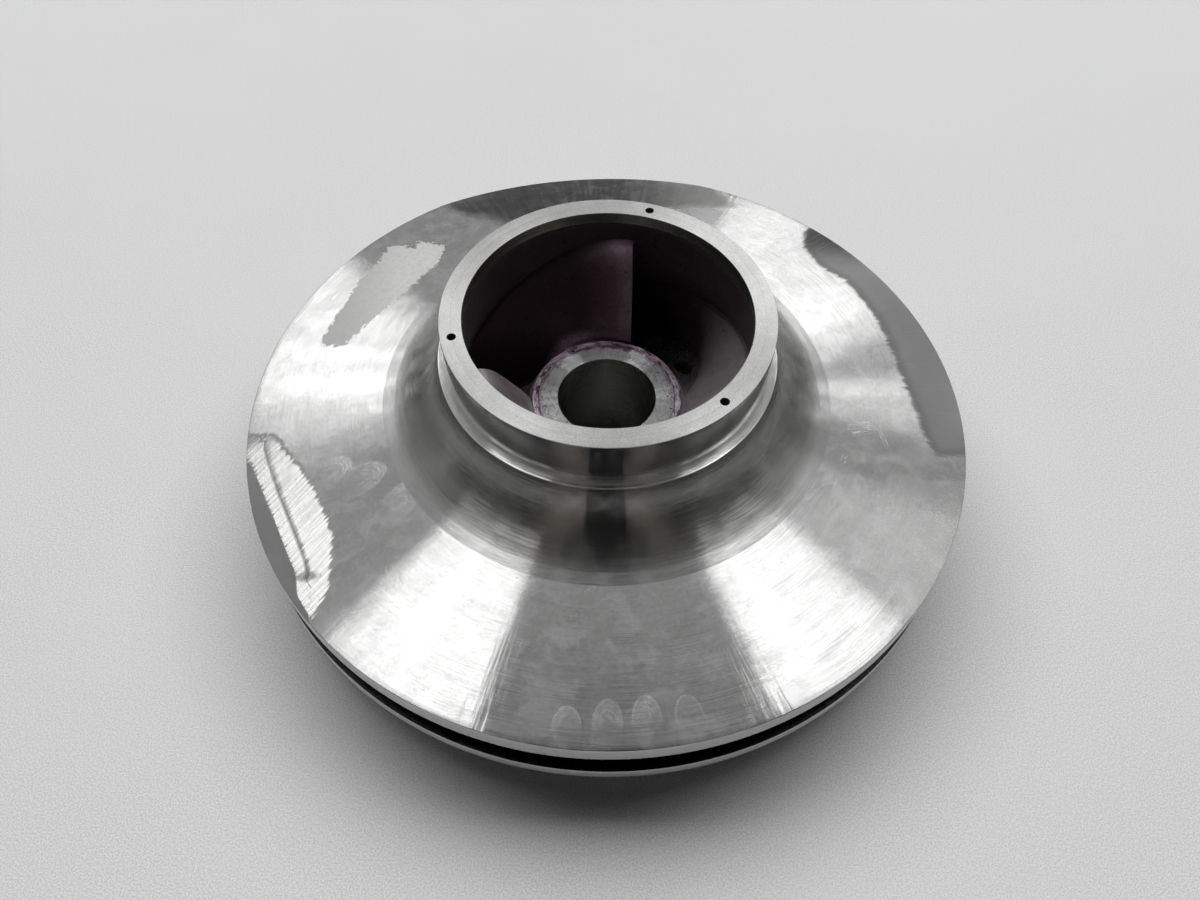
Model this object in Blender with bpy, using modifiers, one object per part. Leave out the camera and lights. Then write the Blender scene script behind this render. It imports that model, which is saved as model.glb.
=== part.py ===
"""Closed centrifugal-pump impeller with two shrunk-on wear rings.

One casting carries the hub, the back shroud, three twisted vanes, the front shroud and the
two necks. A separate wear ring sits on each neck, locked by three set screws on the joint.
Units are metres, the axis is +Z and points at the suction eye, and z = 0 is the end face of
the rear ring, on which the impeller rests.
"""

import math

import bmesh
import bpy
from mathutils import Matrix, Vector

MM = 0.001
STEPS = 72  # flats round a turned surface
ARC_POINTS = 7
VANES = 3
FIT_GAP = 0.3  # between pieces that touch, mm

# Driving sizes, mm
RIM_R = 175.0
BACK_FACE_Z = 24.6
BACK_INNER_Z = 31.4
FRONT_INNER_Z = 47.0
FRONT_RIM_Z = 57.0

EYE_R = 65.0
JOINT_R = 70.0
RING_R = 75.0
LEDGE_R = 78.5
LEDGE_Z = 97.0
COLLAR_R = 73.4
COLLAR_HEIGHT = 3.0
EYE_FACE_Z = 121.3
OUTER_FILLET = 28.0
INNER_FILLET = 41.5

BORE_R = 24.0
NOSE_R = 36.75
NOSE_Z = 61.5
NOSE_DEPTH = 3.5
HUB_FILLET = 30.0
BORE_CHAMFER = 1.2

REAR_RING_HEIGHT = 17.7
REAR_BOSS_R = 37.0
REAR_BOSS_Z = 2.0
REAR_HOLLOW_Z = 21.0
REAR_FILLET = 3.0
HOLLOW_FILLET = 6.0

RING_CHAMFER = 0.6

# Vanes: angles in degrees, seen from the suction eye, counter-clockwise
EYE_EDGE_ANGLE = 78.8
HUB_EDGE_ANGLE = 73.5
TAIL_ANGLE = 328.8
EYE_EDGE = (64.9, 105.2)
HUB_EDGE = (41.0, 52.5)
TAIL_R = 173.0
VANE_THICKNESS = 6.0
NOSE_THICKNESS = 2.6
VANE_STATIONS = 24
VANE_ROWS = 4
WALL_OVERLAP = 0.07  # share of the passage that the vane runs on into each wall

# Lock screws on the ring joint, balance holes and keyway
LOCK_ANGLE = 74.2
LOCK_HOLE_R = 2.1
LOCK_DEPTH = 12.0
SCREW_R = 1.8
SCREW_LENGTH = 7.0
BALANCE_ANGLE = 46.0
BALANCE_R = 60.0
BALANCE_HOLE_R = 5.5
KEYWAY_WIDTH = 14.0
KEYWAY_DEPTH = 3.8

# Shallow balancing cut at the rim, on the side away from the keyway
CUT_ANGLE = 98.0
CUT_CHORD = 157.5  # distance of its straight inner edge from the axis
CUT_DEPTH = 3.0  # at the rim


# Scene and helpers


def clear_scene():
    for found in list(bpy.data.objects):
        bpy.data.objects.remove(found, do_unlink=True)


def new_collection(name, hidden=False):
    made = bpy.data.collections.new(name)
    bpy.context.scene.collection.children.link(made)
    made.hide_render = hidden
    return made


def metal(name, colour, roughness):
    made = bpy.data.materials.new(name)
    made.use_nodes = True
    shader = made.node_tree.nodes["Principled BSDF"]
    shader.inputs["Base Color"].default_value = (*colour, 1.0)
    shader.inputs["Metallic"].default_value = 1.0
    shader.inputs["Roughness"].default_value = roughness
    return made


def arc(centre, radius, start, end, points=ARC_POINTS):
    """Points on an arc in the (r, z) plane, angles in degrees, both ends included."""
    found = []
    for i in range(points + 1):
        angle = math.radians(start + (end - start) * i / points)
        found.append((centre[0] + radius * math.cos(angle), centre[1] + radius * math.sin(angle)))
    return found


def tangent_slope(centre, radius, rim):
    """Slope in degrees of the line from the rim that touches the circle from below."""
    across = rim[0] - centre[0]
    down = centre[1] - rim[1]
    return math.degrees(math.acos(radius / math.hypot(across, down)) - math.atan2(across, down))


def turned(name, profile, collection):
    """A solid of revolution from a closed (r, z) outline in mm, clockwise with +r to the right."""
    mesh = bpy.data.meshes.new(name)
    points = [(r * MM, 0.0, z * MM) for r, z in profile]
    edges = [(i, (i + 1) % len(points)) for i in range(len(points))]
    mesh.from_pydata(points, edges, [])
    made = bpy.data.objects.new(name, mesh)
    collection.objects.link(made)
    screw = made.modifiers.new("turn", "SCREW")
    screw.steps = STEPS
    screw.render_steps = STEPS
    screw.use_merge_vertices = True
    screw.merge_threshold = 1e-6
    return made


def cylinder(name, radius, low, high, place, collection, sides=20):
    """An upright cylinder between two heights, mm, centred on place = (x, y) in mm."""
    bpy.ops.mesh.primitive_cylinder_add(
        vertices=sides,
        radius=radius * MM,
        depth=(high - low) * MM,
        location=(place[0] * MM, place[1] * MM, (low + high) / 2 * MM),
    )
    made = bpy.context.object
    made.name = name
    for owner in list(made.users_collection):
        owner.objects.unlink(made)
    collection.objects.link(made)
    return made


def on_circle(radius, degrees):
    return (radius * math.cos(math.radians(degrees)), radius * math.sin(math.radians(degrees)))


def combine(target, other, operation):
    made = target.modifiers.new(f"{operation.lower()} {other.name}", "BOOLEAN")
    made.operation = operation
    made.solver = "EXACT"
    made.object = other
    return made


def finish(node, material):
    node.data.materials.clear()
    node.data.materials.append(material)
    for face in node.data.polygons:
        face.use_smooth = True
    return node


# Outlines of the turned pieces

FRONT_CENTRE = (LEDGE_R + OUTER_FILLET, LEDGE_Z)
OUTER_SLOPE = tangent_slope(FRONT_CENTRE, OUTER_FILLET, (RIM_R, FRONT_RIM_Z))
INNER_CENTRE = (EYE_R + INNER_FILLET, LEDGE_Z)
INNER_SLOPE = tangent_slope(INNER_CENTRE, INNER_FILLET, (RIM_R, FRONT_INNER_Z))
HUB_CENTRE = (NOSE_R + 1.5 + HUB_FILLET, BACK_INNER_Z + 1.0 + HUB_FILLET)
COLLAR_Z = LEDGE_Z + COLLAR_HEIGHT
REAR_SEAT_Z = REAR_RING_HEIGHT + FIT_GAP


def front_shroud_outline():
    neck_r = JOINT_R - FIT_GAP / 2
    return [
        (EYE_R, EYE_FACE_Z),
        (neck_r, EYE_FACE_Z),
        (neck_r, COLLAR_Z),
        (COLLAR_R, COLLAR_Z),
        (COLLAR_R, LEDGE_Z),
        *arc(FRONT_CENTRE, OUTER_FILLET, 180.0, 270.0 - OUTER_SLOPE),
        (RIM_R, FRONT_RIM_Z),
        (RIM_R, FRONT_INNER_Z),
        *arc(INNER_CENTRE, INNER_FILLET, 270.0 - INNER_SLOPE, 180.0),
    ]


def back_shroud_outline():
    neck_r = JOINT_R - FIT_GAP / 2
    ledge_z = REAR_SEAT_Z + COLLAR_HEIGHT
    return [
        (BORE_R + BORE_CHAMFER, NOSE_Z),
        (NOSE_R, NOSE_Z),
        (NOSE_R, NOSE_Z - NOSE_DEPTH),
        *arc(HUB_CENTRE, HUB_FILLET, 190.0, 270.0),
        (RIM_R, BACK_INNER_Z),
        (RIM_R, BACK_FACE_Z),
        *arc((LEDGE_R + REAR_FILLET, BACK_FACE_Z - REAR_FILLET), REAR_FILLET, 90.0, 180.0, 3),
        (LEDGE_R, ledge_z),
        (COLLAR_R, ledge_z),
        (COLLAR_R, REAR_SEAT_Z),
        (neck_r, REAR_SEAT_Z),
        (neck_r, 0.0),
        (EYE_R, 0.0),
        *arc((EYE_R - HOLLOW_FILLET, REAR_HOLLOW_Z - HOLLOW_FILLET), HOLLOW_FILLET, 0.0, 90.0, 3),
        *arc((REAR_BOSS_R + HOLLOW_FILLET, REAR_HOLLOW_Z - HOLLOW_FILLET), HOLLOW_FILLET, 90.0, 180.0, 3),
        (REAR_BOSS_R, REAR_BOSS_Z),
        (BORE_R + BORE_CHAMFER, REAR_BOSS_Z),
        (BORE_R, REAR_BOSS_Z + BORE_CHAMFER),
        (BORE_R, NOSE_Z - BORE_CHAMFER),
    ]


def ring_outline(low, high):
    inner = JOINT_R + FIT_GAP / 2
    return [
        (inner, high),
        (RING_R - RING_CHAMFER / 2, high),
        (RING_R, high - RING_CHAMFER / 2),
        (RING_R, low + RING_CHAMFER),
        (RING_R - RING_CHAMFER, low),
        (inner, low),
    ]


# Vanes


def eye_wall_path():
    """The inside of the front shroud from the leading edge to the rim, as (r, z)."""
    curve = arc(INNER_CENTRE, INNER_FILLET, 180.0, 270.0 - INNER_SLOPE, 24)
    return [EYE_EDGE, *curve, (TAIL_R, FRONT_INNER_Z + (RIM_R - TAIL_R) * math.tan(math.radians(INNER_SLOPE)))]


def hub_wall_path():
    """The outside of the hub and the back shroud from the leading edge to the rim."""
    start = math.degrees(math.atan2(HUB_EDGE[1] - HUB_CENTRE[1], HUB_EDGE[0] - HUB_CENTRE[0]))
    curve = arc(HUB_CENTRE, HUB_FILLET, start % 360.0, 270.0, 24)
    return [*curve, (TAIL_R, BACK_INNER_Z)]


def station_list(path, count):
    """Stations evenly spaced in the integral of dm / r, which makes a vane of constant angle."""
    fine = []
    for (r0, z0), (r1, z1) in zip(path, path[1:]):
        for i in range(40):
            fine.append((r0 + (r1 - r0) * i / 40, z0 + (z1 - z0) * i / 40))
    fine.append(path[-1])
    total = [0.0]
    for (r0, z0), (r1, z1) in zip(fine, fine[1:]):
        total.append(total[-1] + math.hypot(r1 - r0, z1 - z0) / ((r0 + r1) / 2))
    stations = []
    j = 0
    for i in range(count + 1):
        wanted = total[-1] * i / count
        while j < len(total) - 2 and total[j + 1] < wanted:
            j += 1
        share = (wanted - total[j]) / (total[j + 1] - total[j])
        (r0, z0), (r1, z1) = fine[j], fine[j + 1]
        stations.append((r0 + (r1 - r0) * share, z0 + (z1 - z0) * share))
    return stations, total[-1]


def vane_thickness(share):
    """Thickness in mm along the vane, which swells fast behind its leading edge."""
    grown = min(1.0, share / 0.12)
    return NOSE_THICKNESS + (VANE_THICKNESS - NOSE_THICKNESS) * math.sin(grown * math.pi / 2)


def vane(name, turn, collection):
    """One vane lofted between the two walls, turned about the axis by some degrees."""
    eye_points, eye_total = station_list(eye_wall_path(), VANE_STATIONS)
    hub_points, hub_total = station_list(hub_wall_path(), VANE_STATIONS)
    bm = bmesh.new()
    sides = {-1: [], 1: []}
    for i in range(VANE_STATIONS + 1):
        share = i / VANE_STATIONS
        for side, rows in sides.items():
            row = []
            for j in range(VANE_ROWS + 1):
                height = -WALL_OVERLAP + (1 + 2 * WALL_OVERLAP) * j / VANE_ROWS
                r = hub_points[i][0] + (eye_points[i][0] - hub_points[i][0]) * height
                z = hub_points[i][1] + (eye_points[i][1] - hub_points[i][1]) * height
                edge = HUB_EDGE_ANGLE + (EYE_EDGE_ANGLE - HUB_EDGE_ANGLE) * height
                wrap = math.radians(TAIL_ANGLE - edge)
                slope = math.atan((hub_total + (eye_total - hub_total) * height) / wrap)
                half = vane_thickness(share) / (2 * r * math.sin(slope))
                angle = math.radians(edge + turn) + wrap * share + side * half
                row.append(bm.verts.new((r * MM * math.cos(angle), r * MM * math.sin(angle), z * MM)))
            rows.append(row)
    front, back = sides[-1], sides[1]
    for i in range(VANE_STATIONS):
        for j in range(VANE_ROWS):
            bm.faces.new((front[i][j], front[i][j + 1], front[i + 1][j + 1], front[i + 1][j]))
            bm.faces.new((back[i][j], back[i + 1][j], back[i + 1][j + 1], back[i][j + 1]))
        for j in (0, VANE_ROWS):
            bm.faces.new((front[i][j], front[i + 1][j], back[i + 1][j], back[i][j]))
    for j in range(VANE_ROWS):
        for i in (0, VANE_STATIONS):
            bm.faces.new((front[i][j], back[i][j], back[i][j + 1], front[i][j + 1]))
    bmesh.ops.triangulate(bm, faces=bm.faces[:])
    bmesh.ops.recalc_face_normals(bm, faces=bm.faces[:])
    mesh = bpy.data.meshes.new(name)
    bm.to_mesh(mesh)
    bm.free()
    made = bpy.data.objects.new(name, mesh)
    collection.objects.link(made)
    return made


# Holes


def lock_hole_cutters(collection):
    """Drills for the three lock screws of each ring, centred on the joint."""
    found = []
    for i in range(VANES):
        place = on_circle(JOINT_R, LOCK_ANGLE + 120.0 * i)
        front = ("front", EYE_FACE_Z - LOCK_DEPTH, EYE_FACE_Z + 2.0)
        rear = ("rear", -2.0, LOCK_DEPTH)
        for where, low, high in (front, rear):
            found.append(cylinder(f"drill_{where}_{i + 1}", LOCK_HOLE_R, low, high, place, collection, 12))
    return found


def balance_hole_cutters(collection):
    found = []
    for i in range(VANES):
        place = on_circle(BALANCE_R, BALANCE_ANGLE + 120.0 * i)
        found.append(cylinder(f"balance_{i + 1}", BALANCE_HOLE_R, 10.0, 44.0, place, collection))
    return found


def keyway_cutter(collection):
    bpy.ops.mesh.primitive_cube_add(size=1.0)
    made = bpy.context.object
    made.name = "keyway_cutter"
    inner = BORE_R - 8.0
    outer = BORE_R + KEYWAY_DEPTH
    made.scale = (KEYWAY_WIDTH * MM, (outer - inner) * MM, 80.0 * MM)
    made.location = Vector((0.0, -(inner + outer) / 2, 32.0)) * MM
    for owner in list(made.users_collection):
        owner.objects.unlink(made)
    collection.objects.link(made)
    return made


def balancing_cutter(collection):
    """A disc with the shroud's own cone below, tilted about the chord where the cut begins."""
    def cone_z(r):
        return FRONT_RIM_Z + (RIM_R - r) * math.tan(math.radians(OUTER_SLOPE))

    inner, outer, top = 125.0, 190.0, FRONT_RIM_Z + 30.0
    outline = [(inner, top), (outer, top), (outer, cone_z(outer)), (inner, cone_z(inner))]
    made = turned("balancing_cutter", outline, collection)
    x, y = on_circle(CUT_CHORD, CUT_ANGLE)
    hinge = Vector((x, y, cone_z(CUT_CHORD))) * MM
    along = Vector((-y, x, 0.0)).normalized()
    tilt = math.atan(CUT_DEPTH / (RIM_R - CUT_CHORD))
    turn = Matrix.Rotation(tilt, 4, along)
    made.matrix_world = Matrix.Translation(hinge) @ turn @ Matrix.Translation(-hinge)
    return made


# The model


def build():
    clear_scene()
    pieces = new_collection("pump_impeller")
    helpers = new_collection("helpers", hidden=True)
    cast_steel = metal("cast_stainless_steel", (0.56, 0.56, 0.55), 0.32)
    ring_steel = metal("ring_stainless_steel", (0.62, 0.62, 0.61), 0.28)
    screw_steel = metal("screw_black_steel", (0.05, 0.05, 0.055), 0.45)

    casting = turned("impeller_casting", back_shroud_outline(), pieces)
    joined = [turned("front_shroud_body", front_shroud_outline(), helpers)]
    for i in range(VANES):
        joined.append(vane(f"vane_{i + 1}", 120.0 * i, helpers))
    for other in joined:
        combine(casting, other, "UNION")
    lock_drills = lock_hole_cutters(helpers)
    cutters = [*lock_drills, *balance_hole_cutters(helpers), keyway_cutter(helpers), balancing_cutter(helpers)]
    for cutter in cutters:
        combine(casting, cutter, "DIFFERENCE")
    finish(casting, cast_steel)

    front_ring = turned("eye_wear_ring", ring_outline(COLLAR_Z + FIT_GAP, EYE_FACE_Z), pieces)
    rear_ring = turned("rear_wear_ring", ring_outline(0.0, REAR_RING_HEIGHT), pieces)
    for ring in (front_ring, rear_ring):
        for drill in lock_drills:
            where = "front" if ring is front_ring else "rear"
            if where in drill.name:
                combine(ring, drill, "DIFFERENCE")
        finish(ring, ring_steel)

    for i in range(VANES):
        place = on_circle(JOINT_R, LOCK_ANGLE + 120.0 * i)
        bottom = EYE_FACE_Z - LOCK_DEPTH + FIT_GAP
        eye_screw = cylinder(f"eye_lock_screw_{i + 1}", SCREW_R, bottom, bottom + SCREW_LENGTH, place, pieces, 12)
        top = LOCK_DEPTH - FIT_GAP
        rear_screw = cylinder(f"rear_lock_screw_{i + 1}", SCREW_R, top - SCREW_LENGTH, top, place, pieces, 12)
        finish(eye_screw, screw_steel)
        finish(rear_screw, screw_steel)

    for helper in helpers.objects:
        helper.hide_render = True
        helper.display_type = "WIRE"


build()
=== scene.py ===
# %% [markdown]
# # A closed pump impeller, lying with its suction eye up
#
# The real thing is one stainless casting: a hub, a back shroud, three twisted vanes and a front
# shroud with a neck. A wear ring is shrunk on each neck and locked with set screws. Nearly every
# outside surface is turned on a lathe, so most of this lesson is about turned metal: how to make
# a profile, how to spin it, and how to get the bright wedges that circular tool marks give.
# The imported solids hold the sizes. Here they get fine, round surfaces and their finishes.

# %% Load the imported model
import math

import bmesh
import bpy
import numpy as np
from mathutils import Matrix, Vector


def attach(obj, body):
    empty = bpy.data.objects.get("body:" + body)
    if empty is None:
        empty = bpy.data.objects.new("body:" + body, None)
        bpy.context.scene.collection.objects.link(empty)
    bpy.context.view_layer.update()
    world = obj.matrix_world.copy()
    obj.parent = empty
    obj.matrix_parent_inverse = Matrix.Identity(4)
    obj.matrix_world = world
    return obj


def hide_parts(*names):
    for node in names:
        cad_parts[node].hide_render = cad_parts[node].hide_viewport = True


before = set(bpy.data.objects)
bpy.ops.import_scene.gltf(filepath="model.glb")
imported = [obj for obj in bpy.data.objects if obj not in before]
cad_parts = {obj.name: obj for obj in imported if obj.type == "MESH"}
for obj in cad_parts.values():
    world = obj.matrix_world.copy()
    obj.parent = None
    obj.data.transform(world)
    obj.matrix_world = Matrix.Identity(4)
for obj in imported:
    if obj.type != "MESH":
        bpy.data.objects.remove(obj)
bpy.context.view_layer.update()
MM = 0.001
scene = bpy.context.scene
print("nodes:", ", ".join(sorted(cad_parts)))

# %% [markdown]
# ## The camera
#
# The picture was taken by hand from half a metre away, so near things look much larger than far
# ones. A wide lens close to the object gives the same shape; a long lens from further off would
# flatten the ring and the bore. The place and the three turns come from a fit to the circles of
# the object: its rim, ring, eye, hub and bore all share one axis.

# %% Camera
SENSOR_MM, LENS_MM = 36.0, 28.78
NEAREST, FURTHEST = 0.01, 20.0
FRONT_RIM_Z = 57.0
TARGET_DISTANCE_MM = 478.0
ELEVATION = 51.373
YAW, PITCH, ROLL = 0.337, -2.893, -1.096


def placed(name, data):
    """A new object that holds this data, linked to the scene."""
    made = bpy.data.objects.new(name, data)
    scene.collection.objects.link(made)
    return made


elevation = math.radians(ELEVATION)
outward = Vector((0.0, -math.cos(elevation), math.sin(elevation)))
forward = -outward
right = Vector((1.0, 0.0, 0.0))
up = right.cross(forward)
for angle, axis in ((YAW, "up"), (PITCH, "right"), (ROLL, "forward")):
    turn = Matrix.Rotation(math.radians(angle), 3, {"up": up, "right": right, "forward": forward}[axis])
    right, up, forward = turn @ right, turn @ up, turn @ forward

camera_data = bpy.data.cameras.new("camera")
camera_data.sensor_width, camera_data.lens = SENSOR_MM, LENS_MM
camera_data.clip_start, camera_data.clip_end = NEAREST, FURTHEST
camera = placed("camera", camera_data)
camera_place = outward * TARGET_DISTANCE_MM + Vector((0.0, 0.0, FRONT_RIM_Z))
camera_turn = Matrix((right, up, -forward)).transposed().to_4x4()
camera.matrix_world = Matrix.Translation(camera_place * MM) @ camera_turn
scene.camera = camera
print("camera at", tuple(round(v, 4) for v in camera.location))

# %% [markdown]
# ## Outlines to spin
#
# A turned piece is an outline in the (r, z) plane, carried once round the axis. Blender's Screw
# modifier does that, but here each stretch of the outline has its own finish, such as faced,
# turned or as cast, and the surface is pushed in a little afterwards where it was ground. So the
# outline is a list of corners, each with the width of its broken edge and the finish of the
# stretch that follows, and a helper spins it into a grid of faces.

# %% Outline helpers
ROUND_STEPS = 480
SHARP_DEGREES = 24.0


def arc(centre, radius, start, end, count):
    """Points on an arc in the (r, z) plane, angles in degrees."""
    found = []
    for i in range(count + 1):
        angle = math.radians(start + (end - start) * i / count)
        found.append((centre[0] + radius * math.cos(angle), centre[1] + radius * math.sin(angle)))
    return found


def tangent_slope(centre, radius, rim):
    """Slope in degrees of the line from the rim that touches the circle from below."""
    across, down = rim[0] - centre[0], centre[1] - rim[1]
    return math.degrees(math.acos(radius / math.hypot(across, down)) - math.atan2(across, down))


def broken_corners(corners):
    """(r, z, edge, finish) corners as points with their finish; an edge over 0 is rounded off."""
    made = []
    for i, (r, z, edge, finish) in enumerate(corners):
        before, after = corners[i - 1], corners[(i + 1) % len(corners)]
        if edge <= 0:
            made.append((r, z, finish))
            continue
        here = Vector((r, z))
        to_before = (Vector(before[:2]) - here).normalized() * edge
        to_after = (Vector(after[:2]) - here).normalized() * edge
        for share in (0.0, 0.25, 0.5, 0.75, 1.0):
            point = here + to_before * (1 - share) ** 2 + to_after * share ** 2
            made.append((point.x, point.y, before[3] if share < 0.5 else finish))
    return made


def split_long(points, longest):
    """Adds points so that no stretch is longer than this, mm."""
    made = []
    for i, (r, z, finish) in enumerate(points):
        r1, z1, _ = points[(i + 1) % len(points)]
        parts = max(1, math.ceil(math.hypot(r1 - r, z1 - z) / longest))
        for k in range(parts):
            made.append((r + (r1 - r) * k / parts, z + (z1 - z) * k / parts, finish))
    return made


def smoothed(mesh, sharp=SHARP_DEGREES):
    """Shades a mesh smooth; edges that turn more than this many degrees stay sharp."""
    mesh.shade_smooth()
    mesh.set_sharp_from_angle(angle=math.radians(sharp))


def spun(name, points, finishes):
    """A closed outline carried round the axis, with one material slot for each finish."""
    count, steps = len(points), ROUND_STEPS
    angles = np.arange(steps) * 2 * math.pi / steps
    r = np.array([p[0] for p in points])
    z = np.array([p[1] for p in points])
    grid = np.empty((steps, count, 3))
    grid[:, :, 0] = np.cos(angles)[:, None] * r
    grid[:, :, 1] = np.sin(angles)[:, None] * r
    grid[:, :, 2] = z
    a, b = np.meshgrid(np.arange(steps), np.arange(count), indexing="ij")
    a1, b1 = (a + 1) % steps, (b + 1) % count
    faces = np.stack([a * count + b, a1 * count + b, a1 * count + b1, a * count + b1], -1).reshape(-1, 4)
    mesh = bpy.data.meshes.new(name)
    mesh.from_pydata((grid.reshape(-1, 3) * MM).tolist(), [], faces.tolist())
    slots = [finishes.index(p[2]) for p in points]
    mesh.polygons.foreach_set("material_index", np.tile(slots, steps))
    for finish in finishes:
        mesh.materials.append(FINISHES[finish])
    smoothed(mesh)
    print(f"{name}: {len(mesh.vertices)} points, {len(mesh.polygons)} faces")
    return placed(name, mesh)

# %% [markdown]
# ## Building finishes from nodes
#
# A finish is a tree of nodes that ends in a Principled shader. Writing each node out takes four
# lines, which hides the idea, so a few small helpers add a node, set it and link it at once.

# %% Node helpers
FINISHES = {}


def connect(tree, node, inputs):
    """Links each input that is given a socket and sets any other; a colour gets its alpha."""
    for key, value in inputs.items():
        socket = node.inputs[key]
        if isinstance(value, bpy.types.NodeSocket):
            tree.links.new(value, socket)
        else:
            socket.default_value = (*value, 1.0) if socket.type == "RGBA" else value


def add(tree, kind, settings=None, inputs=None):
    """Adds a node with its settings and its inputs."""
    made = tree.nodes.new(kind)
    for key, value in (settings or {}).items():
        setattr(made, key, value)
    connect(tree, made, inputs or {})
    return made


def new_finish(name):
    """A new material, kept under its name, as its tree and its Principled shader."""
    made = bpy.data.materials.new(name)
    made.use_nodes = True
    FINISHES[name] = made
    return made.node_tree, made.node_tree.nodes["Principled BSDF"]


def so_far(shader, name):
    """What is linked to a shader's input up to now."""
    return shader.inputs[name].links[0].from_socket

# %% Numbers, vectors and colours in nodes


def sums(tree, operation, *values):
    """One Math node, such as SINE or POWER."""
    return add(tree, "ShaderNodeMath", {"operation": operation}, dict(enumerate(values))).outputs[0]


def plus(tree, first, second):
    return sums(tree, "ADD", first, second)


def minus(tree, first, second):
    return sums(tree, "SUBTRACT", first, second)


def times(tree, first, second):
    return sums(tree, "MULTIPLY", first, second)


def swing(tree, value, amount):
    """A noise made to swing to both sides of zero."""
    return times(tree, minus(tree, value, 0.5), amount)


def vectors(tree, operation, *values):
    """One Vector Math node; LENGTH gives a number, the others give a vector."""
    made = add(tree, "ShaderNodeVectorMath", {"operation": operation}, dict(enumerate(values)))
    return made.outputs["Value" if operation == "LENGTH" else "Vector"]


def ramp(tree, value, low, high, start=0.0, end=1.0):
    """Carries value from low..high to start..end, softly at both ends."""
    inputs = {"Value": value, "From Min": low, "From Max": high, "To Min": start, "To Max": end}
    return add(tree, "ShaderNodeMapRange", {"interpolation_type": "SMOOTHSTEP"}, inputs).outputs["Result"]


def mixed(tree, share, first, second):
    """A number between two, by a share from 0 to 1."""
    return add(tree, "ShaderNodeMix", {"data_type": "FLOAT"}, {0: share, 2: first, 3: second}).outputs[0]


def blended(tree, share, first, second):
    """A colour between two, by a share from 0 to 1."""
    settings = {"data_type": "RGBA", "clamp_factor": True}
    return add(tree, "ShaderNodeMix", settings, {0: share, 6: first, 7: second}).outputs[2]


def toned(tree, colour, tint, value, low, high, most=1.0):
    """A colour that takes a tint on: none of it where value is low, this much where it is high."""
    return blended(tree, ramp(tree, value, low, high, 0.0, most), colour, tint)


def grey(tone):
    return (tone, tone, tone)


def shade_of(colour, share):
    """The same colour made darker, or lighter with a share over 1."""
    return tuple(c * share for c in colour)

# %% Places and noises


def painted(tree, name):
    """A value that the mesh carries at its points."""
    return add(tree, "ShaderNodeAttribute", {"attribute_name": name}).outputs["Fac"]


def place(tree):
    """The point's place in the object's own frame, in metres."""
    return add(tree, "ShaderNodeTexCoord").outputs["Object"]


def axis_place(tree):
    """The place as x, y and z, with the flat vector out from the axis and its length."""
    x, y, z = add(tree, "ShaderNodeSeparateXYZ", None, {0: place(tree)}).outputs
    flat = add(tree, "ShaderNodeCombineXYZ", None, {0: x, 1: y, 2: 0.0}).outputs[0]
    return x, y, z, flat, vectors(tree, "LENGTH", flat)


def speckle(tree, vector, scale, detail=2.0, roughness=0.5, distortion=0.0):
    """Blender's noise, from 0 to 1, with its mean near a half."""
    inputs = {"Vector": vector, "Scale": scale, "Detail": detail, "Roughness": roughness,
              "Distortion": distortion}
    return add(tree, "ShaderNodeTexNoise", None, inputs).outputs["Fac"]


def ring_marks(tree, turns, across, detail=2.0, roughness=0.5):
    """A noise that runs round the axis slowly and across the tool marks fast, with no seam.

    turns is how many features fit in a radian, across how many in a metre."""
    _, _, z, flat, r = axis_place(tree)
    ux, uy, _ = add(tree, "ShaderNodeSeparateXYZ", None, {0: vectors(tree, "NORMALIZE", flat)}).outputs
    along = times(tree, minus(tree, r, z), across)
    inputs = {0: times(tree, ux, turns), 1: times(tree, uy, turns), 2: along}
    drawn = add(tree, "ShaderNodeCombineXYZ", None, inputs).outputs[0]
    return speckle(tree, drawn, 1.0, detail, roughness)


def bumped(tree, height, metres, normal=None):
    """The normal over a relief of this height, on top of another relief if one is given."""
    inputs = {"Height": height, "Distance": metres, "Strength": 1.0}
    if normal is not None:
        inputs["Normal"] = normal
    return add(tree, "ShaderNodeBump", None, inputs).outputs["Normal"]

# %% [markdown]
# ## Turned steel
#
# A lathe leaves fine grooves that run round the axis. Along a groove the metal is almost a mirror;
# across the grooves it scatters. So a ceiling panel makes a bright wedge with straight, sharp
# sides that runs out to the rim. Two things make that here. The Principled shader's Anisotropic
# and a radial Tangent narrow the highlight along the groove; a quarter turn of Anisotropic
# Rotation puts its long side across. The grooves themselves are a noise that is drawn out round
# the axis and leans the normal to both sides, because the shader alone can't spread far enough
# and stay that sharp. A second, coarser noise leans it along the groove by a fraction of a
# degree, as a worn tool does, and frays the wedges' sides. Faced ends also get a grain of short
# dark marks, because a facing cut tears the metal a little.

# %% Turned steel
RIPPLE = 0.012
QUARTER_TURN = 0.25


def radial_tangent(tree):
    return add(tree, "ShaderNodeTangent", {"direction_type": "RADIAL", "axis": "Z"}).outputs[0]


def leaned(tree, along, across, normal=None):
    """The normal leaned along the grooves and across them; both are slopes."""
    if normal is None:
        normal = add(tree, "ShaderNodeNewGeometry").outputs["Normal"]
    groove = radial_tangent(tree)
    over = vectors(tree, "CROSS_PRODUCT", normal, groove)
    for direction, amount in ((groove, along), (over, across)):
        inputs = {0: direction, "Scale": amount}
        part = add(tree, "ShaderNodeVectorMath", {"operation": "SCALE"}, inputs).outputs[0]
        normal = vectors(tree, "ADD", normal, part)
    return vectors(tree, "NORMALIZE", normal)


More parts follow.
